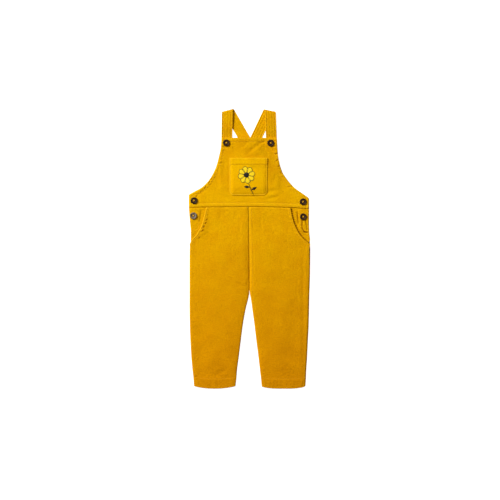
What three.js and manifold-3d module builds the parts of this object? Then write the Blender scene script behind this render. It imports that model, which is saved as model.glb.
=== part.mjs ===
// A toddler's bib dungarees in fine needlecord, laid flat on a surface with the front up.
// Millimetres, +Z up. x runs across from the middle of the garment, h runs up the garment from the lowest
// point of the leg hems, and the origin is on the surface, below the middle of the outline.
// Left and right are the viewer's, looking down at the front.

import * as THREE from 'three';
import { mergeVertices } from 'three/addons/utils/BufferGeometryUtils.js';
import Module from 'manifold-3d';

const wasm = await Module();
wasm.setup();

const { degToRad, lerp, smoothstep } = THREE.MathUtils;

// Driving dimensions
const LENGTH = 612; // leg hems to strap tops
const CLOTH = 1.5; // one layer of needlecord
const TURNED = 2.3; // a turned and stitched edge, the cloth doubled and pressed
const GAP = 0.3; // between pieces at a seam, and between layers that touch
const CROTCH = 212;
const WAIST = 397; // waist seam at the side
const BIB_TOP = 549.8;
const LEG_HEM = 21; // depth of the turned leg hem
const ARMHOLE_HEM = 7;
const BIB_TOP_HEM = 8.4;
const POCKET_HEM = 13.6;
const HIP_POCKET_HEM = 5;
const STRAP_WIDTH = 23;
const STRAP_THICKNESS = 2;
const STRAP_FOLD_RADIUS = 4; // middle of the strap, where it turns over at the shoulder
const BUTTON_DIAMETER = 15;
const BUTTON_THICKNESS = 3;
const HEM_STEP = 1.4; // width of the step from a turned edge down to the single cloth
const HEM_BOW = 6.4; // how far a leg's hem rises at its corners
const HEM_BOW_REACH = 80; // height at which the bow of the hem has died out
const SIDE_OPENING = { start: 306, open: 318 }; // the side seam gives way to the hip pocket's open edge
const WAIST_CURVE_BELOW = 350; // from here up, the rows of a leg take on the curve of the waist seam
const WAIST_CURVE_ABOVE = 428; // up to here, the rows of the bib and the yoke keep it

// Heights of the middle of a layer of cloth above the surface
const FIRST_LAYER = CLOTH / 2;
const SECOND_LAYER = FIRST_LAYER + CLOTH + GAP;
const SEAM_LEVEL = 2.1; // where front and back panels meet at a side seam
const LEG_FRONT = 3.4; // front of the leg, softly filled over the back of the leg
const LEG_EDGE_FULLNESS = 0.4; // how much fuller the leg is beside its seams
const HIP_PANEL = 2.65; // hip panel where it lies on the back of the leg
const HIP_PANEL_OVER_RIM = 0.5; // and more where it passes over the rim of the back of the leg
const HIP_PANEL_ON_STAND = SECOND_LAYER + CLOTH + GAP;
const BIB = 3.6; // bib where it bridges the straps and the yoke
const BIB_ON_CROSSING = 6.2; // bib where it lies over the crossed straps
const BIB_ON_STRAP_ENDS = 4.95; // bib where it lies over the strap ends on the yoke
const HIP_PANEL_RAMP = { from: 4.5, to: 12 }; // distances from the button stand over which the hip panel comes down
const HIP_PANEL_RIM = { from: 8, to: 3.4 }; // distances from the outline over which it rises onto the rim
const BIB_STAND_RAMP = { from: 6.5, to: 28 }; // the same for the bib, which is stiffer
const BIB_CROSSING_RAMP = 24;
const BIB_ENDS_RAMP = 12;
const LEG_FULL = { from: 5, to: 26 }; // distances from the edge over which the fullness beside a seam dies out
const LEG_HEM_RAMP = 6;
const CENTRE_VALLEY = { depth: 0.5, from: 2, to: 14, top: 235 }; // along the centre front seam
const POCKET_EDGE_REACH = { from: 26, to: 11, start: 288, full: 302 }; // where the leg's front rises onto the hip panel
const COVER = { x: 4, h: 3 }; // a layer keeps clear of the slope of the one below over this distance
const STRAP_ON_FLOOR = STRAP_THICKNESS / 2;
const STRAP_ON_YOKE = CLOTH + GAP + STRAP_THICKNESS / 2;
const STRAP_ON_STRAP = STRAP_THICKNESS + GAP + STRAP_THICKNESS / 2;

// Outline of the two legs, each measured outwards from the middle of the garment.
// The inner edge is the inside leg seam below the crotch and the centre front seam above it.
const LEFT_LEG = {
  side: -1,
  hemBow: 2.2,
  standWidth: 17,
  outline: [
    { h: 0, outer: 121.5, inner: 30.4 },
    { h: 17, outer: 122.7, inner: 28.4 },
    { h: 35, outer: 124.5, inner: 27.2 },
    { h: 70, outer: 127.4, inner: 23.2 },
    { h: 105, outer: 129.4, inner: 18.8 },
    { h: 141, outer: 130.7, inner: 14.2 },
    { h: 176, outer: 131.3, inner: 7.9 },
    { h: 202, outer: 131.3, inner: 1.6 },
    { h: 213, outer: 131.3, inner: 0.15 },
    { h: 255, outer: 131.3, inner: 0.5 },
    { h: 317, outer: 130.9, inner: 1.3 },
    { h: 328, outer: 128.5, inner: 1.4 },
    { h: 343, outer: 128.7, inner: 1.7 },
    { h: 369, outer: 130.9, inner: 2.1 },
    { h: 397, outer: 133.1, inner: 2.5 },
  ],
  pocket: [
    { h: 318, edge: 130.2 },
    { h: 327, edge: 125.6 },
    { h: 337.5, edge: 116.4 },
    { h: 346.5, edge: 110.9 },
    { h: 357, edge: 105 },
    { h: 371, edge: 101 },
    { h: 397, edge: 94.6 },
  ],
};
const RIGHT_LEG = {
  side: 1,
  hemBow: 8,
  standWidth: 20,
  outline: [
    { h: 0, outer: 122.5, inner: 26.4 },
    { h: 17, outer: 123.6, inner: 25.1 },
    { h: 35, outer: 124.2, inner: 23.1 },
    { h: 70, outer: 126.2, inner: 19.4 },
    { h: 105, outer: 127.8, inner: 14.9 },
    { h: 141, outer: 129.6, inner: 10.6 },
    { h: 176, outer: 130.5, inner: 5.8 },
    { h: 202, outer: 131, inner: 2.2 },
    { h: 213, outer: 131.3, inner: 0.15 },
    { h: 255, outer: 132.6, inner: -0.2 },
    { h: 317, outer: 133.1, inner: -1 },
    { h: 328, outer: 132.7, inner: -1.1 },
    { h: 343, outer: 131.3, inner: -1.4 },
    { h: 369, outer: 130.7, inner: -1.8 },
    { h: 397, outer: 130.9, inner: -2.2 },
  ],
  pocket: [
    { h: 318, edge: 131.2 },
    { h: 322, edge: 125.9 },
    { h: 328, edge: 119.2 },
    { h: 335.5, edge: 112.2 },
    { h: 345, edge: 105.8 },
    { h: 355, edge: 100.9 },
    { h: 366, edge: 96.4 },
    { h: 381, edge: 92.6 },
    { h: 397, edge: 89.8 },
  ],
};

// Outline of the bib: waist seam, side edge with a corner, then the curve of the armhole
const BIB_OUTLINE = [
  { h: 397, left: -133.1, right: 130.9 },
  { h: 417, left: -133.2, right: 130.8 },
  { h: 420, left: -133.2, right: 128.7 },
  { h: 424.4, left: -132.9, right: 122.1 },
  { h: 431, left: -123.4, right: 112.2 },
  { h: 439.8, left: -107.1, right: 99.9 },
  { h: 448.6, left: -96.4, right: 91.1 },
  { h: 457.4, left: -88.9, right: 83.8 },
  { h: 475, left: -78.3, right: 72.2 },
  { h: 492.6, left: -71.3, right: 66.4 },
  { h: 510.2, left: -66.7, right: 63 },
  { h: 527.8, left: -63.1, right: 61.6 },
  { h: 549.8, left: -61.2, right: 60.4 },
];
const WAIST_SEAM = [
  { x: -133, h: 397 },
  { x: 0, h: 398.6 },
  { x: 98, h: 396.4 },
  { x: 121, h: 394 },
  { x: 133, h: 393.4 },
];
// Half width of the yoke at the back, below and inside the bib
const YOKE_OUTLINE = [
  { h: 397, reach: 130.6 },
  { h: 419, reach: 129.4 },
  { h: 426, reach: 118 },
  { h: 432, reach: 103 },
  { h: 440, reach: 86 },
  { h: 448, reach: 73 },
  { h: 458, reach: 62 },
  { h: 474, reach: 54 },
];
const YOKE_SHIFT = -2; // the yoke lies a little to the left, as the bib does
const BIB_POCKET = { left: -43.2, right: 38.8, bottom: 423.7, top: 505.3, corner: 10 };
// Rows that the bib and its pocket share, so that one lies evenly on the other
const BIB_ROWS = [444, 456, 468, 480, BIB_POCKET.top - POCKET_HEM - HEM_STEP, BIB_POCKET.top - POCKET_HEM, 498, BIB_POCKET.top];
const HIP_PANEL_TUCK = 14; // how far the hip panel runs in under the pocket edge
const HIP_PANEL_STRAIGHT_BELOW = 326; // its inner edge runs straight down from here
const HIP_PANEL_FOOT = { inset: 7, from: 316, to: 326 }; // its lower end draws in behind the side seam
const POCKET_SLANT = 1.3; // mean stretch of the slanting pocket edge over its width
const STAND = { inset: 4, bottom: 346, top: 413 };

// Folds that show: a line from one end to the other, how wide it is and how deep it sinks, or stands if negative
const FOLD_LOSS = 0.5; // share of its depth that a fold loses at either end
const FOLD_SHARPNESS = 2;
const BIB_FOLDS = [
  { fromX: 33, fromH: 540, toX: -5, toH: 515, width: 7, depth: 0.8 },
  { fromX: -16, fromH: 523, toX: 0, toH: 533, width: 6, depth: -0.5 },
  { fromX: 10, fromH: 513, toX: 20, toH: 519, width: 6, depth: -0.4 },
  { fromX: -56, fromH: 466, toX: -58, toH: 497, width: 8, depth: 0.5 },
  { fromX: 28, fromH: 420, toX: 70, toH: 431, width: 8, depth: -0.6 },
  { fromX: 42, fromH: 417, toX: 62, toH: 420, width: 7, depth: 0.5 },
];
const LEFT_LEG_FOLDS = [
  { fromX: 76, fromH: 31, toX: 52, toH: 42, width: 7, depth: 0.6 },
  { fromX: 4, fromH: 253, toX: 22, toH: 262, width: 6, depth: 0.5 },
  { fromX: 8, fromH: 225, toX: 30, toH: 232, width: 6, depth: 0.5 },
  { fromX: 21, fromH: 330, toX: 21, toH: 370, width: 7, depth: 0.3 },
];
const RIGHT_LEG_FOLDS = [
  { fromX: 25, fromH: 330, toX: 26, toH: 370, width: 7, depth: 0.3 },
  { fromX: 120, fromH: 60, toX: 119, toH: 300, width: 9, depth: 0.5 },
  { fromX: 129, fromH: 215, toX: 108, toH: 226, width: 7, depth: 0.4 },
];

// The straps: where each turns over, its slant from the lengthwise direction behind and in front
const STRAPS = {
  left: { side: -1, foldX: 43.9, foldH: 604.7, backAngle: 29.9, frontAngle: 1, crossesOnTop: true },
  right: { side: 1, foldX: 41.9, foldH: 603.9, backAngle: 25, frontAngle: 2, crossesOnTop: false },
};
const STRAP_END_ON_YOKE = 449;
const STRAP_END_BEHIND_BIB = 519;
// Middle of the back length of the left strap, the one that crosses on top
const topStrapX = (h) => {
  const { foldX, foldH, backAngle } = STRAPS.left;
  return (foldH - h) * Math.tan(degToRad(backAngle)) - foldX;
};
// Height of the front length of a strap, sloping from the fold down to the surface behind the bib
const STRAP_FRONT_SLOPE = [
  { h: 551, z: STRAP_ON_FLOOR },
  { h: 560, z: 2.3 },
  { h: 568, z: 4.3 },
  { h: 580, z: 6.6 },
  { h: 592, z: 8.4 },
  { h: 602, z: STRAP_ON_FLOOR + 2 * STRAP_FOLD_RADIUS },
];

const BUTTONS = [
  { name: 'bib_button_left', x: -50.4, h: 538.3 },
  { name: 'bib_button_right', x: 46.4, h: 537.9 },
  { name: 'side_button_left_upper', x: -121, h: 412.1 },
  { name: 'side_button_left_lower', x: -122.4, h: 379.1 },
  { name: 'side_button_right_upper', x: 117.3, h: 409.8 },
  { name: 'side_button_right_lower', x: 117.7, h: 376.9 },
];

// Looks
const cord = (tint) => new THREE.MeshStandardMaterial({ color: tint, roughness: 0.92, metalness: 0 });
const CORD = cord(0xdea000);
const CORD_BEHIND = cord(0xcc9000);
const HORN = new THREE.MeshStandardMaterial({ color: 0x3b2614, roughness: 0.35, metalness: 0 });

// A smooth curve through two columns of a table, which never runs past the rows' own values
function through(table, from, to) {
  const xs = table.map((row) => row[from]);
  const ys = table.map((row) => row[to]);
  const last = xs.length - 1;
  const secants = xs.slice(1).map((x, i) => (ys[i + 1] - ys[i]) / (x - xs[i]));
  const slopes = ys.map((y, i) => {
    if (i === 0 || i === last) return secants[Math.min(i, last - 1)];
    const product = secants[i - 1] * secants[i];
    return product <= 0 ? 0 : (2 * product) / (secants[i - 1] + secants[i]);
  });
  return (x) => {
    if (x <= xs[0]) return ys[0];
    if (x >= xs[last]) return ys[last];
    const i = xs.findIndex((value) => value > x) - 1;
    const span = xs[i + 1] - xs[i];
    const t = (x - xs[i]) / span;
    const near = (1 + 2 * t) * (1 - t) ** 2 * ys[i] + t * (1 - t) ** 2 * span * slopes[i];
    const far = t ** 2 * (3 - 2 * t) * ys[i + 1] + t ** 2 * (t - 1) * span * slopes[i + 1];
    return near + far;
  };
}

// How deep the folds of a table sink at a point
function sunkBy(folds, x, h) {
  return folds.reduce((sum, { fromX, fromH, toX, toH, width, depth }) => {
    const [runX, runH] = [toX - fromX, toH - fromH];
    const share = ((x - fromX) * runX + (h - fromH) * runH) / (runX ** 2 + runH ** 2);
    const along = THREE.MathUtils.clamp(share, 0, 1);
    const away = Math.hypot(x - fromX - along * runX, h - fromH - along * runH);
    const waning = 1 - FOLD_LOSS * Math.abs(2 * along - 1) ** 3;
    return sum + depth * waning * Math.exp(-((away / width) ** 2) * FOLD_SHARPNESS);
  }, 0);
}

// A closed wall of cloth around a grid of middle points, each with half the wall's thickness there
function clothWall(grid) {
  const rows = grid.length;
  const columns = grid[0].length;
  const at = (row, column) => grid[Math.min(Math.max(row, 0), rows - 1)][Math.min(Math.max(column, 0), columns - 1)];
  const faces = [[], []];
  for (let row = 0; row < rows; row += 1) {
    for (let column = 0; column < columns; column += 1) {
      const across = at(row, column + 1).point.clone().sub(at(row, column - 1).point);
      const along = at(row + 1, column).point.clone().sub(at(row - 1, column).point);
      const normal = across.cross(along).normalize();
      const { point, half } = grid[row][column];
      faces[0].push(point.clone().addScaledVector(normal, half));
      faces[1].push(point.clone().addScaledVector(normal, -half));
    }
  }
  const index = [];
  const vertex = (face, row, column) => face * rows * columns + row * columns + column;
  const quad = (a, b, c, d) => index.push(a, b, c, a, c, d);
  for (let row = 0; row < rows - 1; row += 1) {
    for (let column = 0; column < columns - 1; column += 1) {
      const corners = [[row, column], [row, column + 1], [row + 1, column + 1], [row + 1, column]];
      quad(...corners.map(([r, c]) => vertex(0, r, c)));
      quad(...corners.reverse().map(([r, c]) => vertex(1, r, c)));
    }
  }
  const rim = [];
  for (let column = 0; column < columns - 1; column += 1) rim.push([0, column]);
  for (let row = 0; row < rows - 1; row += 1) rim.push([row, columns - 1]);
  for (let column = columns - 1; column > 0; column -= 1) rim.push([rows - 1, column]);
  for (let row = rows - 1; row > 0; row -= 1) rim.push([row, 0]);
  rim.forEach(([row, column], i) => {
    const [nextRow, nextColumn] = rim[(i + 1) % rim.length];
    quad(vertex(0, row, column), vertex(1, row, column), vertex(1, nextRow, nextColumn), vertex(0, nextRow, nextColumn));
  });
  const geometry = new THREE.BufferGeometry();
  const positions = faces.flat().flatMap((p) => [p.x, p.y - LENGTH / 2, p.z]);
  geometry.setAttribute('position', new THREE.Float32BufferAttribute(positions, 3));
  geometry.setIndex(index);
  geometry.computeVertexNormals();
  return geometry;
}

// One edge of a row: from the rim inwards, round the roll of the edge and onto the flat of the panel.
// inwards is 1 where x grows away from the edge, and -1 where it falls.
function edgeRun(edge, roll, h, steps, inwards) {
  const slopeStep = 1;
  const slope = (edge(h + slopeStep) - edge(h - slopeStep)) / (2 * slopeStep);
  const stretch = Math.hypot(1, slope);
  const { reach, depth, angle } = roll(h);
  const arc = (angle * (reach + Math.abs(depth))) / 2;
  const overhang = angle > Math.PI / 2 ? reach * (1 - Math.sin(angle)) : 0;
  const rim = (CLOTH / 2) * Math.sin(Math.min(angle, Math.PI / 2)) + overhang;
  return steps.map((step) => {
    const turn = step < arc ? angle * (1 - step / arc) : 0;
    const across = reach * (Math.sin(angle) - Math.sin(turn)) + Math.max(0, step - arc);
    return {
      x: edge(h) + inwards * (rim + across) * stretch,
      sink: depth * (1 - Math.cos(turn)),
      inset: step,
    };
  });
}

// Middle points of a panel, row by row up the garment. low and high are its edges at a height, level gives
// a point's true height where hems or seams bow, height its place above the surface.
function panelGrid({ rows, steps, fill, low, high, lowRoll, highRoll, level, height, half }) {
  return rows.map((nominal) => {
    const lowRun = edgeRun(low, lowRoll, nominal, steps, 1);
    const highRun = edgeRun(high, highRoll, nominal, steps, -1).reverse();
    const start = lowRun[lowRun.length - 1];
    const end = highRun[0];
    const middle = Array.from({ length: fill }, (_, i) => {
      const share = (i + 1) / (fill + 1);
      const x = lerp(start.x, end.x, share);
      return { x, sink: 0, inset: start.inset + Math.min(x - start.x, end.x - x) };
    });
    return [...lowRun, ...middle, ...highRun].map(({ x, sink, inset }) => {
      const h = level(x, nominal);
      const place = { x, h, nominal, inset };
      return { point: new THREE.Vector3(x, h, height(place) - sink), half: half(place) };
    });
  });
}

const flatEdge = () => ({ reach: 1, depth: 0, angle: 0 });
const thickness = (turned) => lerp(CLOTH, TURNED, turned) / 2;
const within = (depth, inset, blend = HEM_STEP) => 1 - smoothstep(inset, depth, depth + blend);
const waistSeam = through(WAIST_SEAM, 'x', 'h');
const ramp = (value, { from, to }) => smoothstep(value, from, to);
const closedSide = (h) => 1 - smoothstep(h, SIDE_OPENING.start, SIDE_OPENING.open);
// How far a row at height h is shifted by the curve of the waist seam, below it and above it
const shiftBelow = (x, h) => (waistSeam(x) - GAP / 2 - WAIST) * smoothstep(h, WAIST_CURVE_BELOW, WAIST);
const shiftAbove = (x, h) => (waistSeam(x) + GAP / 2 - WAIST) * (1 - smoothstep(h, WAIST, WAIST_CURVE_ABOVE));

function mesh(name, geometry, material) {
  const part = new THREE.Mesh(geometry, material);
  part.name = name;
  return part;
}

// Mirrors a grid that was laid out outwards from the middle onto its own side
function onSide(side, grid) {
  grid.forEach((row) => row.forEach(({ point }) => point.setX(point.x * side)));
  return clothWall(grid);
}

// The button stand under the side opening: a strip with a rounded lower end
function standDistance(leg, x, h) {
  const { inset, bottom } = STAND;
  const width = leg.standWidth;
  const middle = leg.outer(h) - inset - width / 2;
  const below = Math.max(0, bottom + width / 2 - h);
  return Math.hypot(Math.min(0, x - middle), below) - width / 2;
}

function hipPanelHeight(leg, x, h) {
  const onStand = 1 - ramp(standDistance(leg, x, h), HIP_PANEL_RAMP);
  const overRim = HIP_PANEL_OVER_RIM * smoothstep(x, leg.outer(h) - HIP_PANEL_RIM.from, leg.outer(h) - HIP_PANEL_RIM.to);
  return lerp(HIP_PANEL + overRim, HIP_PANEL_ON_STAND, onStand);
}

function hipPanelInnerEdge(leg, h) {
  return leg.pocketEdge(Math.max(h, HIP_PANEL_STRAIGHT_BELOW)) - HIP_PANEL_TUCK;
}

function frontLegHeight(leg, { x, h, nominal, inset }) {
  const beside = 1 - ramp(inset, LEG_FULL);
  const inHem = within(LEG_HEM, nominal, LEG_HEM_RAMP);
  const open = LEG_FRONT + LEG_EDGE_FULLNESS * Math.max(beside, inHem);
  const valley = CENTRE_VALLEY.depth * (1 - ramp(x, CENTRE_VALLEY)) * smoothstep(nominal, CROTCH, CENTRE_VALLEY.top);
  const panelTop = hipPanelHeight(leg, x + COVER.x, h + COVER.h) + CLOTH / 2;
  const overPanel = panelTop + GAP + thickness(leg.pocketHem(x, nominal));
  const { from, to, start, full } = POCKET_EDGE_REACH;
  const lifted = smoothstep(x, hipPanelInnerEdge(leg, h) - from, hipPanelInnerEdge(leg, h) - to);
  const cover = lifted * smoothstep(nominal, start, full);
  return lerp(open - valley - sunkBy(leg.folds, x, h), Math.max(overPanel, open), cover);
}

// Outer edge of the front of a leg: rolled down to the side seam, and above it the open pocket edge.
// On the right the back panel comes round to the front, so the seam lies on top, inside the outline.
const WRAP = { reach: 2.2, depth: 1.35, angle: degToRad(150), seamInset: 1.95 };
const SEAM_ON_TOP = { reach: 7.1, depth: 7.1, angle: degToRad(20) };
const FRONT_ROLL = { reach: 2.8, steps: [0, 0.3, 1.3, 2.4, 3.5, 7.4] };
const BACK_ROLL = { reach: 1.6, steps: [0, 0.25, 0.9, 1.6, 2.3, 7], wrapSteps: [0, 0.25, 1.2, 2.2, 3.2, 4.5, 7] };
const CENTRE_SEAM = { angle: 22, from: CROTCH + 20, to: CROTCH + 110 }; // the inner edge flattens above the crotch
const TURNED_INSET = { from: 3.6, to: 7 }; // distance from a side seam at which the leg hem has its full thickness

function legShape(spec, folds) {
  const leg = { ...spec, folds };
  leg.outer = through(spec.outline, 'h', 'outer');
  leg.inner = through(spec.outline, 'h', 'inner');
  leg.pocketEdge = through(spec.pocket, 'h', 'edge');
  leg.wrapped = spec.side > 0;
  leg.pocketHem = (x, h) => {
    const inset = (leg.pocketEdge(h) - x) / POCKET_SLANT;
    return within(HIP_POCKET_HEM, inset) * smoothstep(h, SIDE_OPENING.open, SIDE_OPENING.open + HIP_POCKET_HEM + 1);
  };
  leg.bow = (x, h) => {
    const share = THREE.MathUtils.clamp((x - leg.inner(h)) / (leg.outer(h) - leg.inner(h)), 0, 1);
    return HEM_BOW * Math.abs(2 * share - 1) ** spec.hemBow * (1 - smoothstep(h, 0, HEM_BOW_REACH));
  };
  leg.hem = (nominal, inset) => within(LEG_HEM, nominal) * ramp(inset, TURNED_INSET);
  return leg;
}

function frontLeg(name, leg) {
  const { reach } = FRONT_ROLL;
  const seamInset = (h) => (leg.wrapped ? WRAP.seamInset * closedSide(h) : 0);
  const outerRoll = (h) => {
    if (leg.wrapped) return { ...SEAM_ON_TOP, angle: SEAM_ON_TOP.angle * closedSide(h) };
    const edgeHeight = frontLegHeight(leg, { x: leg.outer(h) - COVER.x, h, nominal: h, inset: COVER.x });
    return { reach, depth: edgeHeight - SEAM_LEVEL - GAP / 2, angle: (Math.PI / 2) * closedSide(h) };
  };
  const innerRoll = (h) => {
    const turn = lerp(90, CENTRE_SEAM.angle, ramp(h, CENTRE_SEAM));
    return { reach, depth: LEG_FRONT + LEG_EDGE_FULLNESS - SEAM_LEVEL - GAP / 2, angle: degToRad(turn) };
  };
  const grid = panelGrid({
    rows: [0, 4, LEG_HEM, 23, 36, 50, 85, 120, 155, 185, 202, CROTCH, 226, 242, 262, 284, 300, 309, SIDE_OPENING.open,
      326, 337, 347, 358, 376, WAIST],
    steps: FRONT_ROLL.steps,
    fill: 8,
    low: leg.inner,
    high: (h) => (h < SIDE_OPENING.open ? leg.outer(h) - seamInset(h) : Math.min(leg.outer(h), leg.pocketEdge(h))),
    lowRoll: innerRoll,
    highRoll: outerRoll,
    level: (x, h) => h + leg.bow(x, h) + shiftBelow(x * leg.side, h),
    height: (place) => frontLegHeight(leg, place),
    half: ({ x, nominal, inset }) => thickness(Math.max(leg.hem(nominal, inset), leg.pocketHem(x, nominal))),
  });
  return mesh(name, onSide(leg.side, grid), CORD);
}

function backLeg(name, leg) {
  const hemInset = 1;
  const hemInsetReach = 60;
  const edgeInset = 0.6;
  const seamFlattens = 12; // height above the crotch by which the inner edge lies flat
  const { reach, steps, wrapSteps } = BACK_ROLL;
  const riseToSeam = SEAM_LEVEL - GAP / 2 - FIRST_LAYER;
  const outerRoll = (h) => {
    if (!leg.wrapped) return { reach, depth: -riseToSeam, angle: Math.PI / 2 };
    return { reach: WRAP.reach, depth: -WRAP.depth, angle: lerp(Math.PI / 2, WRAP.angle, closedSide(h)) };
  };
  const grid = panelGrid({
    rows: [0, 20.5, 22.5, 50, 95, 140, 176, 202, CROTCH, 225, 260, 305, 319, 343, 369, WAIST],
    steps: leg.wrapped ? wrapSteps : steps,
    fill: 4,
    low: leg.inner,
    high: (h) => leg.outer(h) - edgeInset * (1 - closedSide(h)),
    lowRoll: (h) => {
      const rolled = 1 - smoothstep(h, CROTCH, CROTCH + seamFlattens);
      return { reach, depth: -riseToSeam, angle: (Math.PI / 2) * rolled };
    },
    highRoll: outerRoll,
    level: (x, h) => {
      const shorter = hemInset * (1 - smoothstep(h, 0, hemInsetReach));
      return h + leg.bow(x, h) + shiftBelow(x * leg.side, h) + shorter;
    },
    height: ({ nominal, inset }) => thickness(leg.hem(nominal, inset)),
    half: ({ nominal, inset }) => thickness(leg.hem(nominal, inset)),
  });
  return mesh(name, onSide(leg.side, grid), CORD_BEHIND);
}

// The hip panel shows inside the hip pocket's curved edge, down to the side seam, and carries a button
function hipPanel(name, leg) {
  const outerInset = (h) => HIP_PANEL_FOOT.inset * (1 - ramp(h, HIP_PANEL_FOOT));
  const bendDown = { reach: 2.5, depth: 2.4, degrees: 64, from: 340, to: 352 }; // beside the button
  const grid = panelGrid({
    rows: [304, 316, 321, 326, 335, 344, 352, 362, 380, WAIST],
    steps: [0, 1.2, 2.6],
    fill: 6,
    low: (h) => hipPanelInnerEdge(leg, h),
    high: (h) => leg.outer(h) - outerInset(h),
    lowRoll: flatEdge,
    highRoll: (h) => ({ ...bendDown, angle: degToRad(bendDown.degrees) * ramp(h, bendDown) }),
    level: (x, h) => h + shiftBelow(x * leg.side, h),
    height: ({ x, h }) => hipPanelHeight(leg, x, h),
    half: () => CLOTH / 2,
  });
  return mesh(name, onSide(leg.side, grid), CORD);
}

function buttonStand(name, leg) {
  const { inset, bottom, top } = STAND;
  const radius = leg.standWidth / 2;
  const tip = 1.5; // half width left at the lower end
  const halfWidth = (h) => {
    const below = Math.max(0, bottom + radius - h);
    return Math.sqrt(Math.max(radius ** 2 - below ** 2, tip ** 2));
  };
  const middle = (h) => leg.outer(h) - inset - radius;
  const grid = panelGrid({
    rows: [bottom, bottom + tip, bottom + 4, bottom + 7, bottom + radius, 375, WAIST, top],
    steps: [0],
    fill: 2,
    low: (h) => middle(h) - halfWidth(h),
    high: (h) => middle(h) + halfWidth(h),
    lowRoll: flatEdge,
    highRoll: flatEdge,
    level: (x, h) => h,
    height: () => SECOND_LAYER,
    half: () => CLOTH / 2,
  });
  return mesh(name, onSide(leg.side, grid), CORD_BEHIND);
}

const leftLeg = legShape(LEFT_LEG, LEFT_LEG_FOLDS);
const rightLeg = legShape(RIGHT_LEG, RIGHT_LEG_FOLDS);

// Height of the bib over what lies behind it: button stands, strap ends and crossed straps
function bibHeight(x, h) {
  const leg = x < 0 ? leftLeg : rightLeg;
  const stand = 1 - ramp(Math.max(standDistance(leg, Math.abs(x), h), h - STAND.top), BIB_STAND_RAMP);
  const fromTopStrap = Math.abs(x - topStrapX(h));
  const onCrossing = within(STRAP_WIDTH / 2 + 3.5, fromTopStrap, BIB_CROSSING_RAMP) * smoothstep(h, 474, 492);
  const onEnds = within(60, Math.abs(x), BIB_ENDS_RAMP) * smoothstep(h, 430, 443) * (1 - smoothstep(h, 504, 530));
  const lifted = [
    (HIP_PANEL_ON_STAND - BIB) * stand,
    (BIB_ON_CROSSING - BIB) * onCrossing,
    (BIB_ON_STRAP_ENDS - BIB) * onEnds,
  ];
  return BIB + Math.max(...lifted) - sunkBy(BIB_FOLDS, x, h);
}

function bib() {
  const left = through(BIB_OUTLINE, 'h', 'left');
  const right = through(BIB_OUTLINE, 'h', 'right');
  // The edge bends down at the side, less along the armhole, and lies nearly flat over the straps
  const sideRoll = { reach: 2.5, depth: 2.6, degrees: 66 };
  const armholeRoll = { reach: 3, depth: 3, degrees: 45 };
  const overStraps = 18;
  const roll = (h) => {
    const onArmhole = smoothstep(h, 416, 430);
    const degrees = lerp(lerp(sideRoll.degrees, armholeRoll.degrees, onArmhole), overStraps, smoothstep(h, 480, 515));
    return {
      reach: lerp(sideRoll.reach, armholeRoll.reach, onArmhole),
      depth: lerp(sideRoll.depth, armholeRoll.depth, onArmhole),
      angle: degToRad(degrees),
    };
  };
  const grid = panelGrid({
    rows: [WAIST, 406, 417, 420, 424.4, 428, 434, ...BIB_ROWS, 514, 524, 534, BIB_TOP - BIB_TOP_HEM - HEM_STEP,
      BIB_TOP - BIB_TOP_HEM, BIB_TOP],
    steps: [0, 1.2, 2.5, ARMHOLE_HEM, ARMHOLE_HEM + HEM_STEP],
    fill: 11,
    low: left,
    high: right,
    lowRoll: roll,
    highRoll: roll,
    level: (x, h) => h + shiftAbove(x, h),
    height: ({ x, h }) => bibHeight(x, h),
    half: ({ nominal, inset }) => {
      const armhole = within(ARMHOLE_HEM, inset) * smoothstep(nominal, 418, 430);
      return thickness(Math.max(armhole, within(BIB_TOP_HEM, BIB_TOP - nominal)));
    },
  });
  return mesh('bib_front', clothWall(grid), CORD);
}

// The patch pocket follows the bib, one layer further out, with rounded lower corners
function bibPocket() {
  const { left, right, bottom, top, corner } = BIB_POCKET;
  const cover = 3; // the pocket keeps clear of the slope of the bib over this distance
  const cornerInset = (h) => {
    const below = THREE.MathUtils.clamp(corner - (h - bottom), 0, corner);
    return corner - Math.sqrt(corner ** 2 - below ** 2);
  };
  const hemHalf = (h) => thickness(within(POCKET_HEM, top - h));
  const grid = panelGrid({
    rows: [bottom, bottom + 0.9, bottom + 3, bottom + 6, bottom + corner, ...BIB_ROWS],
    steps: [0],
    fill: 10,
    low: (h) => left + cornerInset(h),
    high: (h) => right - cornerInset(h),
    lowRoll: flatEdge,
    highRoll: flatEdge,
    level: (x, h) => h,
    height: ({ x, h }) => Math.max(bibHeight(x - cover, h), bibHeight(x + cover, h)) + CLOTH / 2 + GAP + hemHalf(h),
    half: ({ h }) => hemHalf(h),
  });
  return mesh('bib_pocket', clothWall(grid), CORD);
}

function backYoke() {
  const reach = through(YOKE_OUTLINE, 'h', 'reach');
  const top = YOKE_OUTLINE[YOKE_OUTLINE.length - 1].h;
  const grid = panelGrid({
    rows: [WAIST, 408, 420, 426, 432, 440, 448, 458, top],
    steps: [0, 3],
    fill: 9,
    low: (h) => YOKE_SHIFT - reach(h),
    high: (h) => YOKE_SHIFT + reach(h),
    lowRoll: flatEdge,
    highRoll: flatEdge,
    level: (x, h) => h + shiftAbove(x, h),
    height: () => FIRST_LAYER,
    half: () => CLOTH / 2,
  });
  return mesh('back_yoke', clothWall(grid), CORD_BEHIND);
}

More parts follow.
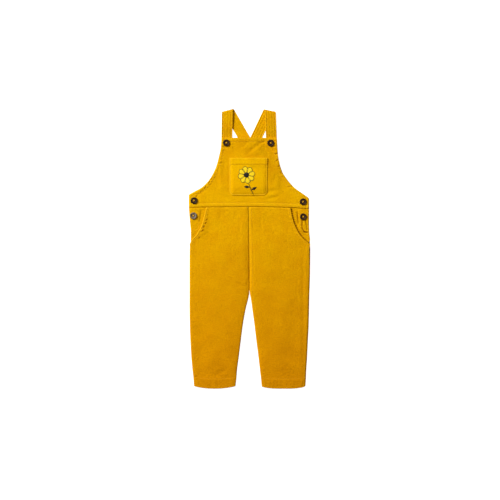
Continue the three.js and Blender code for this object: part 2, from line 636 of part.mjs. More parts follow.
// A strap is a flat strip: it runs up from the yoke, turns over a slanting fold at the shoulder and comes
// down the front to lie behind the bib. s runs along the strip from the fold, w across it.
function strap(name, { side, foldX, foldH, backAngle, frontAngle, crossesOnTop }) {
  const slant = degToRad(backAngle);
  const turn = degToRad((backAngle + frontAngle) / 2);
  const run = new THREE.Vector2(Math.sin(slant), Math.cos(slant)); // up and outwards, towards the fold
  const sideways = new THREE.Vector2(run.y, -run.x);
  const foldLine = new THREE.Vector2(Math.cos(turn - degToRad(frontAngle)), -Math.sin(turn - degToRad(frontAngle)));
  const beyond = new THREE.Vector2(-foldLine.y, foldLine.x);
  const radius = STRAP_FOLD_RADIUS;
  const frontHeight = through(STRAP_FRONT_SLOPE, 'h', 'z');
  const backHeight = (h) => {
    const onYoke = 1 - smoothstep(h, 479, 491);
    const onStrap = crossesOnTop ? smoothstep(h, 476, 490) * (1 - smoothstep(h, 551, 566)) : 0;
    const lift = (STRAP_ON_YOKE - STRAP_ON_FLOOR) * onYoke;
    return STRAP_ON_FLOOR + Math.max(lift, (STRAP_ON_STRAP - STRAP_ON_FLOOR) * onStrap);
  };
  const place = (s, w) => {
    const flat = run.clone().multiplyScalar(s).addScaledVector(sideways, w);
    const p = flat.dot(foldLine);
    const q = flat.dot(beyond);
    const angle = THREE.MathUtils.clamp(q / radius, 0, Math.PI);
    const out = q < 0 ? q : radius * Math.sin(angle) - Math.max(0, q - Math.PI * radius);
    const x = foldX + p * foldLine.x + out * beyond.x;
    const h = foldH + p * foldLine.y + out * beyond.y;
    const bend = STRAP_ON_FLOOR + radius * (1 - Math.cos(angle));
    const z = q < 0 ? backHeight(h) : q > Math.PI * radius ? frontHeight(h) : bend;
    return new THREE.Vector3(x * side, h, z);
  };
  const backLength = (foldH - STRAP_END_ON_YOKE) / Math.cos(slant);
  const frontLength = foldH - STRAP_END_BEHIND_BIB;
  const turnLength = Math.PI * radius;
  const turnSteps = 7;
  const backShares = [-1, -0.93, -0.86, -0.8, -0.74, -0.68, -0.5, -0.36, -0.3, -0.24, -0.18, -0.1, -0.04];
  const frontShares = [0.05, 0.12, 0.2, 0.28, 0.36, 0.44, 0.52, 0.6, 0.64, 1];
  const stations = backShares.map((share) => share * backLength);
  for (let i = 0; i <= turnSteps; i += 1) stations.push((turnLength * i) / turnSteps);
  stations.push(...frontShares.map((share) => turnLength + share * frontLength));
  const skewFades = { from: 12, to: 40 }; // beside the slanting fold, the rows of the strip run along it
  const skewed = (s) => {
    const away = s < 0 ? -s : Math.max(0, s - turnLength);
    return 1 - ramp(away, skewFades);
  };
  const acrossFold = sideways.dot(beyond) / run.dot(beyond);
  const across = [-1, -0.4, 0.4, 1].map((share) => (share * STRAP_WIDTH) / 2);
  const grid = stations.map((s) => across.map((w) => ({
    point: place(s - w * acrossFold * skewed(s), w),
    half: STRAP_THICKNESS / 2,
  })));
  return mesh(name, clothWall(grid), CORD);
}

function toSolid(geometry) {
  const bare = geometry.clone();
  bare.deleteAttribute('normal');
  bare.deleteAttribute('uv');
  const merged = mergeVertices(bare);
  return new wasm.Manifold(new wasm.Mesh({
    numProp: 3,
    vertProperties: merged.attributes.position.array,
    triVerts: new Uint32Array(merged.index.array),
  }));
}

function toGeometry(solid) {
  const { vertProperties, triVerts } = solid.getMesh();
  const geometry = new THREE.BufferGeometry();
  geometry.setAttribute('position', new THREE.BufferAttribute(vertProperties, 3));
  geometry.setIndex(new THREE.BufferAttribute(triVerts, 1));
  geometry.computeVertexNormals();
  return geometry;
}

// A dished four-hole button with a raised rim, standing on its underside at z = 0
function buttonGeometry() {
  const radius = BUTTON_DIAMETER / 2;
  const chamfer = 1;
  const rim = 2.2;
  const floor = BUTTON_THICKNESS - 0.8; // top of the dished middle
  const hole = { radius: 0.95, offset: 1.6, sides: 6 };
  const rounds = 18;
  const profile = [
    [0, 0], [radius - chamfer, 0], [radius, BUTTON_THICKNESS / 2], [radius - chamfer, BUTTON_THICKNESS],
    [radius - rim, floor], [0, floor],
  ].map(([r, z]) => new THREE.Vector2(r, z));
  let solid = toSolid(new THREE.LatheGeometry(profile, rounds).rotateX(Math.PI / 2));
  [[1, 1], [1, -1], [-1, 1], [-1, -1]].forEach(([x, y]) => {
    const drill = new THREE.CylinderGeometry(hole.radius, hole.radius, 3 * BUTTON_THICKNESS, hole.sides);
    drill.rotateX(Math.PI / 2).translate(x * hole.offset, y * hole.offset, 0);
    solid = solid.subtract(toSolid(drill));
  });
  return toGeometry(solid);
}

// Top of the cloth under a button, at its highest over the button's face
function seatHeight(x, h) {
  const leg = x < 0 ? leftLeg : rightLeg;
  const reach = BUTTON_DIAMETER / 2 - 1;
  const tops = [[0, 0], [reach, 0], [-reach, 0], [0, reach], [0, -reach]].map(([dx, dh]) => {
    if (h < WAIST) return hipPanelHeight(leg, Math.abs(x + dx), h + dh) + CLOTH / 2;
    return bibHeight(x + dx, h + dh) + (h > BIB_TOP - 3 * BIB_TOP_HEM ? TURNED : CLOTH) / 2;
  });
  return Math.max(...tops);
}

const garment = new THREE.Group();
garment.add(
  backLeg('back_leg_left', leftLeg),
  backLeg('back_leg_right', rightLeg),
  backYoke(),
  buttonStand('button_stand_left', leftLeg),
  buttonStand('button_stand_right', rightLeg),
  strap('strap_left', STRAPS.left),
  strap('strap_right', STRAPS.right),
  hipPanel('hip_panel_left', leftLeg),
  hipPanel('hip_panel_right', rightLeg),
  frontLeg('front_leg_left', leftLeg),
  frontLeg('front_leg_right', rightLeg),
  bib(),
  bibPocket(),
);
BUTTONS.forEach(({ name, x, h }) => {
  const button = mesh(name, buttonGeometry(), HORN);
  button.position.set(x, h - LENGTH / 2, seatHeight(x, h) + GAP);
  garment.add(button);
});

export default garment;
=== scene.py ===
"""A toddler's bib dungarees in mustard needlecord, lying flat with the front up.

Sizes are millimetres. x runs across from the middle of the garment, h runs up the garment from the lowest
point of the leg hems, and z is the height above the surface it lies on. Left and right are the viewer's,
looking down at the front. A mesh is made in metres, in the row's own frame.
"""

import logging
from collections.abc import Callable, Sequence
from dataclasses import dataclass, field
from enum import Enum
from math import cos, pi, radians, sin, sqrt, tan
from typing import NamedTuple

import bpy
import numpy as np
from bpy.types import Material, Node, NodeSocket, NodeTree, Object
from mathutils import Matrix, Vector
from mathutils.bvhtree import BVHTree


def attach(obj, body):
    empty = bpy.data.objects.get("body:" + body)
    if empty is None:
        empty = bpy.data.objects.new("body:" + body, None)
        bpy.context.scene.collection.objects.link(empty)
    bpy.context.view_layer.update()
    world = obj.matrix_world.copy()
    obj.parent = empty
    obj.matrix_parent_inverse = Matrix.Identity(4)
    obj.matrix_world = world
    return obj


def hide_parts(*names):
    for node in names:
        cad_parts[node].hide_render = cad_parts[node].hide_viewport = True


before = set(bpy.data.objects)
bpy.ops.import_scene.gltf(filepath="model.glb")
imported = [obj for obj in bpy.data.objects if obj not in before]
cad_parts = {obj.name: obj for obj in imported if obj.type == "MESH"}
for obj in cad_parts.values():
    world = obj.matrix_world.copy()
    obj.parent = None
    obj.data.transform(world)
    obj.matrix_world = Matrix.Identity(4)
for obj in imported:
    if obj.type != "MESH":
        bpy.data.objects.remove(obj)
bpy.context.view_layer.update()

LOG = logging.getLogger("dungarees")

Array = np.ndarray
Curve = Callable[[Array], Array]
Shape = tuple[Array, list[list[int]]]
Colour = tuple[float, float, float]

# Sizes and names that several pieces share

MM = 0.001
LENGTH = 612.0
CLOTH = 1.5
TURNED = 2.3
GAP = 0.3
CROTCH = 212.0
WAIST = 397.0
BACK_SEAM_RISE = 2.5
BIB_TOP = 549.8
LEG_HEM = 21.8
SEAM_LEVEL = 2.1
FIRST_LAYER = CLOTH / 2
SECOND_LAYER = FIRST_LAYER + CLOTH + GAP
SIDE_OPENING = (306.0, 318.0)
WAIST_CURVE_BELOW = 350.0
WAIST_CURVE_ABOVE = 428.0
GRAIN_MAP = "Grain"
# Point attribute: above 0 it pales the rims, partly rubbing of the pile and partly a painted highlight; below
# 0 it paints shade in creases, under edges and at seams.
WEAR_AND_PAINTED_LIGHT_NAME = "WearAndPaintedLight"
WIDEST_CREASE = 3.0
CREASE_STRENGTH = 1.35
TURNED_FADE = 1.2
SEAM_FADE = 12.0
HEM_SIDES = (3.6, 7.0)
STAND_TOP = 413.0
ARMHOLE = (418.0, 430.0)
GRAIN_LEAN = 0.05
SEWN_LIFT = 0.05
CAST_FROM = 0.1
STRAP_WIDTH = 24.0
RIM_STEPS = (0.0, 0.2, 0.5, 0.9, 1.4, 2.0, 2.7, 3.4, 4.0, 4.7, 5.5, 6.3, 7.0, 7.7, 8.6)


# Curves, swells and folds


def smoothstep(value: Array, low: float | Array, high: float | Array) -> Array:
    """The share that eases from 0, where the value is low, to 1, where it is high."""
    share = np.clip((np.asarray(value, float) - low) / (high - low), 0.0, 1.0)
    return share * share * (3.0 - 2.0 * share)


def bump(distance: Array, width: float | Array) -> Array:
    """A smooth hump that is 1 at distance 0 and has nearly died out at its width."""
    return np.exp(-2.0 * (distance / width) ** 2)


def curve_through(at: Sequence[float], values: Sequence[float]) -> Curve:
    """A smooth curve through the rows of a table, which never runs past their values.

    Args:
        at: Where the rows are, rising.
        values: The curve's values there.

    Returns:
        A function of an array of places.
    """
    knots, heights = np.array(at, float), np.array(values, float)
    secants = np.diff(heights) / np.diff(knots)
    product = secants[:-1] * secants[1:]
    total = np.where(product > 0, secants[:-1] + secants[1:], 1.0)
    slopes = np.concatenate([secants[:1], np.where(product > 0, 2 * product / total, 0.0), secants[-1:]])

    def value(place: Array) -> Array:
        """The curve's value at each place.

        Args:
            place: The places.

        Returns:
            The value at each.
        """
        i = np.clip(np.searchsorted(knots, place, side="right") - 1, 0, len(knots) - 2)
        span = knots[i + 1] - knots[i]
        t = np.clip((place - knots[i]) / span, 0.0, 1.0)
        near = (1 + 2 * t) * (1 - t) ** 2 * heights[i] + t * (1 - t) ** 2 * span * slopes[i]
        return near + t**2 * (3 - 2 * t) * heights[i + 1] + t**2 * (t - 1) * span * slopes[i + 1]

    return value


def undulation(x: Array, h: Array, seed: int, wavelength: float, amount: float) -> Array:
    """The slight unevenness of cloth that lies on a surface.

    Args:
        x: Places across.
        h: Places along.
        seed: Picks the pattern.
        wavelength: Usual length of a swell.
        amount: Usual height of a swell.

    Returns:
        The height to add at each place.
    """
    picks = np.random.default_rng(seed)
    total = np.zeros(np.broadcast(x, h).shape)
    swells = 9
    for _ in range(swells):
        angle, phase = picks.uniform(0, 2 * pi, 2)
        length = wavelength * picks.uniform(0.7, 1.7)
        total += np.sin(2 * pi * (x * cos(angle) + h * sin(angle)) / length + phase)
    return amount * total / sqrt(swells)


def puckers(run: Array, wavelength: float, seed: int) -> Array:
    """Uneven ripples along a stitched edge, from -1 to 1.

    Args:
        run: Distance along the edge.
        wavelength: Usual length of a ripple.
        seed: Picks the pattern.

    Returns:
        The ripple at each place.
    """
    phase, slow = np.random.default_rng(seed).uniform(0, 2 * pi, 2)
    drift = 1.6 * np.sin(2 * pi * run / (4.3 * wavelength) + slow)
    swell = 0.65 + 0.35 * np.sin(2 * pi * run / (6.1 * wavelength) + 2 * slow)
    return swell * np.sin(2 * pi * run / wavelength + drift + phase)


class Fold(NamedTuple):
    """A crease or ridge along a line, with the cloth heaped a little on both sides of it."""

    from_x: float
    from_h: float
    to_x: float
    to_h: float
    width: float
    depth: float
    heap: float = 0.3

    def sunk(self, x: Array, h: Array) -> Array:
        """How deep the fold sinks.

        Args:
            x: Places across.
            h: Places along.

        Returns:
            The depth at each place; below 0 it stands up.
        """
        run_x, run_h = self.to_x - self.from_x, self.to_h - self.from_h
        share = ((x - self.from_x) * run_x + (h - self.from_h) * run_h) / (run_x**2 + run_h**2)
        along = np.clip(share, 0.0, 1.0)
        away = np.hypot(x - self.from_x - along * run_x, h - self.from_h - along * run_h)
        waning = 1 - 0.5 * np.abs(2 * along - 1) ** 3
        heaped = self.heap * bump(away - 1.5 * self.width, 0.8 * self.width)
        return self.depth * waning * (bump(away, self.width) - heaped)


def sunk_by(folds: Sequence[Fold], x: Array, h: Array) -> Array:
    """How deep all the folds of a table sink together."""
    return sum((one.sunk(x, h) for one in folds), np.zeros(np.broadcast(x, h).shape))


def creases(folds: Sequence[Fold], x: Array, h: Array) -> Array:
    """How far the narrow folds darken the cloth, where the light does not reach down into them."""
    return CREASE_STRENGTH * sunk_by([fold for fold in folds if fold.width < WIDEST_CREASE], x, h)


class LegRow(NamedTuple):
    """One row of a leg's outline: outer and inner edge, measured outwards from the middle."""

    h: float
    outer: float
    inner: float


class EdgeRow(NamedTuple):
    """One row of the hip pocket's curved edge."""

    h: float
    edge: float


class BibRow(NamedTuple):
    """One row of the bib's outline."""

    h: float
    left: float
    right: float


WAIST_SEAM = curve_through((-133, 0, 98, 121, 133), (397, 398.6, 396.4, 394, 393.4))


def shift_below(x: Array, h: Array) -> Array:
    """How far a row of a leg moves with the curve of the waist seam above it."""
    return (WAIST_SEAM(x) - GAP / 2 - WAIST) * smoothstep(h, WAIST_CURVE_BELOW, WAIST)


def shift_above(x: Array, h: Array) -> Array:
    """How far a row of the bib or the yoke moves with the curve of the waist seam below it."""
    return (WAIST_SEAM(x) + GAP / 2 - WAIST) * (1 - smoothstep(h, WAIST, WAIST_CURVE_ABOVE))


# Panels, laid out point by point


@dataclass
class Roll:
    """How an edge rolls down: over what width, how far, and to what angle, at each row."""

    reach: Array
    depth: Array
    angle: Array


@dataclass
class Lay:
    """The points of a panel, row by row, before they get their height."""

    x: Array
    h: Array
    row: Array
    sink: Array
    low: Array
    high: Array
    low_run: Array
    high_run: Array

    @property
    def inset(self) -> Array:
        """Distance from the nearer side edge."""
        return np.minimum(self.low, self.high)


def edge_run(edge: Curve, roll: Roll, rows: Array, inwards: int) -> tuple[Array, Array, Array]:
    """Places the columns beside one edge, round its roll and onto the flat of the panel.

    Args:
        edge: The edge's x at a height.
        roll: How the edge rolls down.
        rows: Heights of the rows.
        inwards: 1 where x grows away from the edge, -1 where it falls.

    Returns:
        The columns' x and sink, and how much a slanting edge stretches each row.
    """
    steps = np.array(RIM_STEPS)[None, :]
    stretch = np.hypot(1.0, (edge(rows + 1) - edge(rows - 1)) / 2)[:, None]
    reach, depth, angle = roll.reach[:, None], roll.depth[:, None], roll.angle[:, None]
    arc = np.maximum(angle * (reach + np.abs(depth)) / 2, 1e-6)
    overhang = np.where(angle > pi / 2, reach * (1 - np.sin(angle)), 0.0)
    rim = CLOTH / 2 * np.sin(np.minimum(angle, pi / 2)) + overhang
    turn = np.where(steps < arc, angle * (1 - steps / arc), 0.0)
    across = reach * (np.sin(angle) - np.sin(turn)) + np.maximum(0.0, steps - arc)
    return edge(rows)[:, None] + inwards * (rim + across) * stretch, depth * (1 - np.cos(turn)), stretch


def line_of(*coordinates: Array) -> Array:
    """The points of a line, from their coordinates."""
    return np.stack(coordinates, axis=1)


def unit(vectors: Array) -> Array:
    """The vectors at length 1, each in its own row."""
    return vectors / np.linalg.norm(vectors, axis=-1, keepdims=True)


def run_along(x: Array, h: Array) -> Array:
    """Distance along a line of points, from its first."""
    return np.concatenate([[0.0], np.cumsum(np.hypot(np.diff(x), np.diff(h)))])


def lay_out(rows: Array, low: Curve, high: Curve, low_roll: Roll, high_roll: Roll, pitch: float) -> Lay:
    """Lays out the points of a panel between its two side edges.

    Args:
        rows: Heights of the rows.
        low: The edge with the smaller x.
        high: The edge with the larger x.
        low_roll: How the low edge rolls.
        high_roll: How the high edge rolls.
        pitch: Usual distance between columns away from the edges.

    Returns:
        The points, with their distances from both edges.
    """
    low_x, low_sink, low_stretch = edge_run(low, low_roll, rows, 1)
    high_x, high_sink, high_stretch = edge_run(high, high_roll, rows, -1)
    high_x, high_sink = high_x[:, ::-1], high_sink[:, ::-1]
    start, end = low_x[:, -1:], high_x[:, :1]
    fill = max(3, round(float(np.mean(end - start)) / pitch))
    shares = (np.arange(fill) + 1.0)[None, :] / (fill + 1)
    middle = start + (end - start) * shares
    steps = np.broadcast_to(np.array(RIM_STEPS), low_x.shape)
    inner = RIM_STEPS[-1]
    from_low = inner + (np.hstack([middle, high_x]) - start) / low_stretch
    from_high = inner + (end - np.hstack([low_x, middle])) / high_stretch
    row = np.broadcast_to(rows[:, None], (len(rows), 2 * len(RIM_STEPS) + fill))
    return Lay(
        x=np.hstack([low_x, middle, high_x]),
        h=row.copy(),
        row=row,
        sink=np.hstack([low_sink, np.zeros(middle.shape), high_sink]),
        low=np.hstack([steps, from_low]),
        high=np.hstack([from_high, steps[:, ::-1]]),
        low_run=np.broadcast_to(run_along(low(rows), rows)[:, None], row.shape),
        high_run=np.broadcast_to(run_along(high(rows), rows)[:, None], row.shape),
    )


def flat_roll(rows: Array) -> Roll:
    """The roll of an edge that lies flat."""
    return Roll(np.ones(rows.shape), np.zeros(rows.shape), np.zeros(rows.shape))


def spaced_rows(low: float, high: float, pitch: float, fine_at: Sequence[float] = ()) -> Array:
    """Heights of a panel's rows, closer together at both ends and at each stitch line.

    Args:
        low: Lowest row.
        high: Highest row.
        pitch: Usual distance between rows.
        fine_at: Heights with a stitch line or a step.

    Returns:
        The rows, rising.
    """
    rim = np.array((0.0, 0.2, 0.5, 0.9, 1.4, 2.0, 2.8))
    fine = np.array((-1.4, -0.7, 0.0, 0.7, 1.4))
    wanted = [low + rim, high - rim, *(centre + fine for centre in fine_at)]
    kept = np.concatenate(wanted)
    usual = np.arange(low + rim[-1], high - rim[-1], pitch)
    clear = np.min(np.abs(usual[:, None] - kept[None, :]), axis=1) > 0.4 * pitch
    rows = np.unique(np.round(np.concatenate([kept, usual[clear]]), 4))
    rows = rows[(rows >= low) & (rows <= high)]
    return rows[np.concatenate([[True], np.diff(rows) > 0.12])]


def rim_share(distance: Array, radius: float = 0.9) -> Array:
    """Share of its thickness that a rounded edge has at a distance from the rim."""
    inside = np.clip(distance / radius, 0.0, 1.0)
    return np.maximum(np.sqrt(np.clip(1 - (1 - inside) ** 2, 0.0, 1.0)), 0.12)


def turned_half(share: Array) -> Array:
    """Half the thickness of the cloth, by the share to which it is turned and doubled."""
    return (CLOTH + (TURNED - CLOTH) * share) / 2


def grain_shift(h: Array) -> Array:
    """How far the cord's lines lean inwards below the crotch."""
    return GRAIN_LEAN * np.maximum(0.0, CROTCH - h)


# Closed meshes


def linked(name: str, data: bpy.types.ID) -> Object:
    """Makes an object at the origin and links it to the scene.

    Args:
        name: Its name.
        data: Its mesh, lamp or camera.

    Returns:
        The object.
    """
    made = bpy.data.objects.new(name, data)
    bpy.context.scene.collection.objects.link(made)
    return made


def evaluated_mesh(piece: Object) -> bpy.types.Mesh:
    """The plain mesh that a piece has with its modifiers applied."""
    return bpy.data.meshes.new_from_object(piece.evaluated_get(bpy.context.evaluated_depsgraph_get()))


def mesh_object(name: str, points: Array, faces: Sequence[Sequence[int]]) -> Object:
    """Makes a smooth mesh object at the origin.

    Args:
        name: The piece's name.
        points: Corners, as x, h and z in millimetres.
        faces: Corner numbers of each face, seen from outside against the clock.

    Returns:
        The object.
    """
    mesh = bpy.data.meshes.new(name)
    placed = (points - np.array((0.0, LENGTH / 2, 0.0))) * MM
    mesh.from_pydata(placed.tolist(), [], [list(map(int, face)) for face in faces])
    mesh.shade_smooth()
    mesh.update()
    return linked(name, mesh)


def wall_faces(rows: int, columns: int) -> Array:
    """The faces of a closed wall.

    Args:
        rows: Number of rows.
        columns: Number of columns.

    Returns:
        Corner numbers of the upper grid, the lower grid and the rim between them.
    """
    index = np.arange(rows * columns).reshape(rows, columns)
    a, b, c, d = index[:-1, :-1], index[:-1, 1:], index[1:, 1:], index[1:, :-1]
    upper = np.stack([a, b, c, d], axis=-1).reshape(-1, 4)
    under = rows * columns
    lower = upper[:, ::-1] + under
    rim = np.concatenate([index[0, :-1], index[:-1, -1], index[-1, :0:-1], index[:0:-1, 0]])
    after = np.roll(rim, -1)
    return np.concatenate([upper, lower, np.stack([rim, rim + under, after + under, after], axis=-1)])


@dataclass
class Wall:
    """A panel's middle surface with its thickness, grain, and rubbing with painted light and shade at each
    point.
    """

    x: Array
    h: Array
    z: Array
    half: Array
    grain: Array
    along: Array
    wear_and_painted_light: Array

    def mirrored(self) -> "Wall":
        """The wall on the other side of the middle, its columns turned round so that it faces outwards."""
        flipped = {key: getattr(self, key)[:, ::-1] for key in ("h", "z", "half", "grain", "along", "wear_and_painted_light")}
        return Wall(x=-self.x[:, ::-1], **flipped)

    def skins(self) -> Array:
        """Sets both faces off from the middle surface.

        Returns:
            The corners of the upper face, then of the lower face.
        """
        middle = np.stack([self.x, self.h, self.z], axis=-1)
        normal = np.cross(np.gradient(middle, axis=1), np.gradient(middle, axis=0))
        normal /= np.maximum(np.linalg.norm(normal, axis=-1, keepdims=True), 1e-9)
        thick = self.half[..., None] * normal
        return np.concatenate([(middle + thick).reshape(-1, 3), (middle - thick).reshape(-1, 3)])

    def build(self, name: str, side: int = 1) -> Object:
        """Makes the wall as a closed mesh, on the other side of the middle where side is -1."""
        return build_walls(name, [self.mirrored() if side < 0 else self])


def build_walls(name: str, walls: Sequence[Wall]) -> Object:
    """Makes one mesh of closed walls, with the grain as its UV map and the rubbing with the painted light and
    shade as an attribute.

    Args:
        name: The piece's name.
        walls: The walls.

    Returns:
        The piece's object.
    """
    points, faces = joined([(wall.skins(), wall_faces(*wall.x.shape).tolist()) for wall in walls])
    made = mesh_object(name, points, faces)
    mesh = made.data
    corners = np.zeros(len(mesh.loops), np.int64)
    mesh.loops.foreach_get("vertex_index", corners)
    grains = [np.stack([wall.grain, wall.along], axis=-1).reshape(-1, 2) * MM for wall in walls]
    uv = mesh.uv_layers.new(name=GRAIN_MAP)
    doubled = np.concatenate([half for one in grains for half in (one, one)])
    uv.data.foreach_set("uv", doubled[corners].ravel())
    worn_and_lit = np.concatenate([half for wall in walls for half in (wall.wear_and_painted_light.ravel(), wall.wear_and_painted_light.ravel())])
    wear_and_painted_light = mesh.attributes.new(WEAR_AND_PAINTED_LIGHT_NAME, "FLOAT", "POINT")
    wear_and_painted_light.data.foreach_set("value", worn_and_lit.astype(np.float32))
    return made


def heights_on(over: Object, places: Array) -> list[float | None]:
    """Finds where a piece's upper face is.

    Args:
        over: The piece.
        places: Places as x and h.

    Returns:
        The height of the face at each place, or None beside the piece.
    """
    mesh = over.data
    tree = BVHTree.FromPolygons([v.co for v in mesh.vertices], [tuple(p.vertices) for p in mesh.polygons])
    starts = [Vector((x * MM, (h - LENGTH / 2) * MM, CAST_FROM)) for x, h in places]
    hits = [tree.ray_cast(start, Vector((0, 0, -1)))[0] for start in starts]
    return [None if hit is None else hit.z / MM for hit in hits]


def drape(path: Array, over: Object, lift: float) -> Array:
    """Lays a line down on a piece, at a lift above it, without the points that miss it."""
    heights = heights_on(over, path)
    return np.array([(x, h, z + lift) for (x, h), z in zip(path, heights) if z is not None])


def offset_path(path: Array, distance: float) -> Array:
    """A line of x and h points beside another one, to the left of its run where distance is above 0."""
    run = unit(np.gradient(path, axis=0))
    return path + distance * line_of(-run[:, 1], run[:, 0])


def ring_faces(rings: int, sides: int, first: int = 0) -> list[list[int]]:
    """Joins rings of corners that follow each other.

    Args:
        rings: Number of rings.
        sides: Corners of each ring.
        first: Number of the first corner.

    Returns:
        The faces between the rings.
    """
    starts = [(first + i * sides, k) for i in range(rings - 1) for k in range(sides)]
    pairs = [(start + k, start + (k + 1) % sides) for start, k in starts]
    return [[a, b, b + sides, a + sides] for a, b in pairs]


def tube(path: Array, radius: float, sides: int) -> Shape:
    """A round cord along a line of points, closed at both ends.

    Args:
        path: Its middle points, in millimetres.
        radius: Half its diameter.
        sides: Corners of its section.

    Returns:
        Its corners and faces.
    """
    run = unit(np.gradient(path, axis=0))
    aside = np.cross(run, (0.0, 0.0, 1.0))
    aside /= np.maximum(np.linalg.norm(aside, axis=1, keepdims=True), 1e-6)
    upward = np.cross(aside, run)
    turns = np.linspace(0, 2 * pi, sides, endpoint=False)
    level, upright = np.cos(turns)[None, :, None], np.sin(turns)[None, :, None]
    ring = level * aside[:, None, :] + upright * upward[:, None, :]
    corners = (path[:, None, :] + radius * ring).reshape(-1, 3)
    last = (len(path) - 1) * sides
    caps = [list(range(sides))[::-1], [last + k for k in range(sides)]]
    return corners, ring_faces(len(path), sides) + caps


def joined(parts: Sequence[Shape]) -> Shape:
    """Several sets of corners and faces as one.

    Args:
        parts: The sets.

    Returns:
        All corners and faces.
    """
    corners, faces, count = [], [], 0
    for points, sides in parts:
        corners.append(points)
        faces += [[count + k for k in face] for face in sides]
        count += len(points)
    return np.concatenate(corners), faces


# Outlines and folds, as measured in the photograph

LEFT_OUTLINE = (
    LegRow(0, 121.5, 30.4), LegRow(17, 122.7, 28.4), LegRow(35, 124.5, 27.2), LegRow(70, 127.4, 23.2),
    LegRow(105, 129.4, 18.8), LegRow(141, 130.7, 14.2), LegRow(176, 131.3, 7.9), LegRow(202, 131.3, 1.6),
    LegRow(213, 131.3, 0.15), LegRow(255, 131.3, 0.5), LegRow(317, 130.9, 1.3), LegRow(328, 128.5, 1.4),
    LegRow(343, 128.7, 1.7), LegRow(369, 130.9, 2.1), LegRow(397, 133.1, 2.5),
)
RIGHT_OUTLINE = (
    LegRow(0, 122.5, 26.4), LegRow(17, 123.6, 25.1), LegRow(35, 124.2, 23.1), LegRow(70, 126.2, 19.4),
    LegRow(105, 127.8, 14.9), LegRow(141, 129.6, 10.6), LegRow(176, 130.5, 5.8), LegRow(202, 131, 2.2),
    LegRow(213, 131.3, 0.15), LegRow(255, 132.6, -0.2), LegRow(317, 133.1, -1), LegRow(328, 132.7, -1.1),
    LegRow(343, 131.3, -1.4), LegRow(369, 130.7, -1.8), LegRow(397, 130.9, -2.2),
)
LEFT_POCKET_EDGE = (
    EdgeRow(318, 130.2), EdgeRow(327, 125.6), EdgeRow(337.5, 116.4), EdgeRow(346.5, 110.9), EdgeRow(357, 105),
    EdgeRow(371, 101), EdgeRow(397, 94.6),
)
RIGHT_POCKET_EDGE = (
    EdgeRow(318, 131.2), EdgeRow(322, 125.9), EdgeRow(328, 119.2), EdgeRow(335.5, 112.2), EdgeRow(345, 105.8),
    EdgeRow(355, 100.9), EdgeRow(366, 96.4), EdgeRow(381, 92.6), EdgeRow(397, 89.8),
)
LEFT_LEG_FOLDS = (
    Fold(76, 31, 52, 42, 6, 0.7), Fold(4, 253, 20, 260, 4.5, 0.6), Fold(8, 225, 28, 231, 4.5, 0.6),
    Fold(14, 205, 26, 214, 4, 0.4), Fold(21, 330, 21, 370, 4, 0.35), Fold(102, 352, 108, 388, 4, 0.4),
    Fold(60, 120, 66, 250, 20, 0.35), Fold(98, 40, 104, 170, 18, 0.3), Fold(34, 60, 30, 150, 14, 0.3),
    Fold(3.5, 200, 4.5, 240, 3, 0.45), Fold(95.7, 368.7, 92.1, 372.3, 1.8, 0.8),
    Fold(97.7, 361.6, 94.1, 365.2, 1.8, 0.8), Fold(101.9, 353.5, 98.3, 357.1, 1.8, 0.9),
    Fold(104.2, 345.6, 100.6, 349.2, 1.8, 0.8), Fold(111.8, 329.5, 108.2, 333.1, 1.9, 0.6),
)
RIGHT_LEG_FOLDS = (
    Fold(25, 330, 26, 370, 4, 0.35), Fold(117, 60, 117.5, 300, 5, 0.55), Fold(129, 215, 108, 226, 4.5, 0.5),
    Fold(104, 348, 108, 392, 4, 0.45), Fold(50, 90, 58, 240, 20, 0.35), Fold(86, 50, 92, 180, 16, 0.3),
    Fold(10, 236, 26, 230, 5, 0.35),
)
LEFT_PANEL_FOLDS = (Fold(106.5, 392, 110, 366, 2.5, 0.5), Fold(112, 345, 120, 335, 3, 0.4))
RIGHT_PANEL_FOLDS = (
    Fold(114.5, 384, 115, 352, 1.9, 0.9), Fold(115, 352, 119.5, 344.5, 1.9, 1.0),
    Fold(119.5, 344.5, 128, 343, 1.9, 1.0), Fold(122, 374, 125.5, 350, 1.8, 0.5),
    Fold(104, 388, 107, 362, 2.6, 0.6),
)
BIB_OUTLINE = (
    BibRow(397, -133.1, 130.9), BibRow(417, -133.2, 130.8), BibRow(420, -133.2, 128.7),
    BibRow(424.4, -132.9, 122.1), BibRow(431, -123.4, 112.2), BibRow(439.8, -107.1, 99.9),
    BibRow(448.6, -96.4, 91.1), BibRow(457.4, -88.9, 83.8), BibRow(475, -78.3, 72.2),
    BibRow(492.6, -71.3, 66.4), BibRow(510.2, -66.7, 63), BibRow(527.8, -63.1, 61.6),
    BibRow(549.8, -61.2, 60.4),
)
BIB_FOLDS = (
    Fold(36, 542, 22, 537, 4, 0.9), Fold(22, 537, 6, 524, 4.5, 1.0), Fold(6, 524, -5, 515, 4.5, 0.7),
    Fold(-16, 523, 0, 533, 4.5, -0.6), Fold(10, 513, 20, 519, 5, -0.45), Fold(-56, 466, -58, 497, 7, 0.5),
    Fold(-64, 472, -62, 496, 6, -0.35), Fold(28, 420, 68, 431, 5, -0.7), Fold(42, 416.5, 62, 420, 4, 0.6),
    Fold(-84, 458.3, -81, 465.3, 1.9, 0.8), Fold(-89.5, 449.5, -86.5, 456.5, 1.9, 0.8),
    Fold(-98.3, 438.5, -95.3, 445.5, 1.9, 0.8), Fold(-108.2, 427.5, -105.2, 434.5, 1.9, 0.8),
    Fold(-117, 419.5, -114, 426.5, 1.9, 0.7), Fold(55.9, 513.1, 60.9, 515.6, 1.9, 0.8),
    Fold(58.4, 499.9, 63.4, 502.4, 1.9, 0.8), Fold(62.1, 486.7, 67.1, 489.2, 1.9, 0.8),
    Fold(67.6, 473.5, 72.6, 476, 1.9, 0.7),
    Fold(62, 470, 50, 452, 6, 0.4), Fold(-30, 416, -74, 424, 8, 0.3),
)


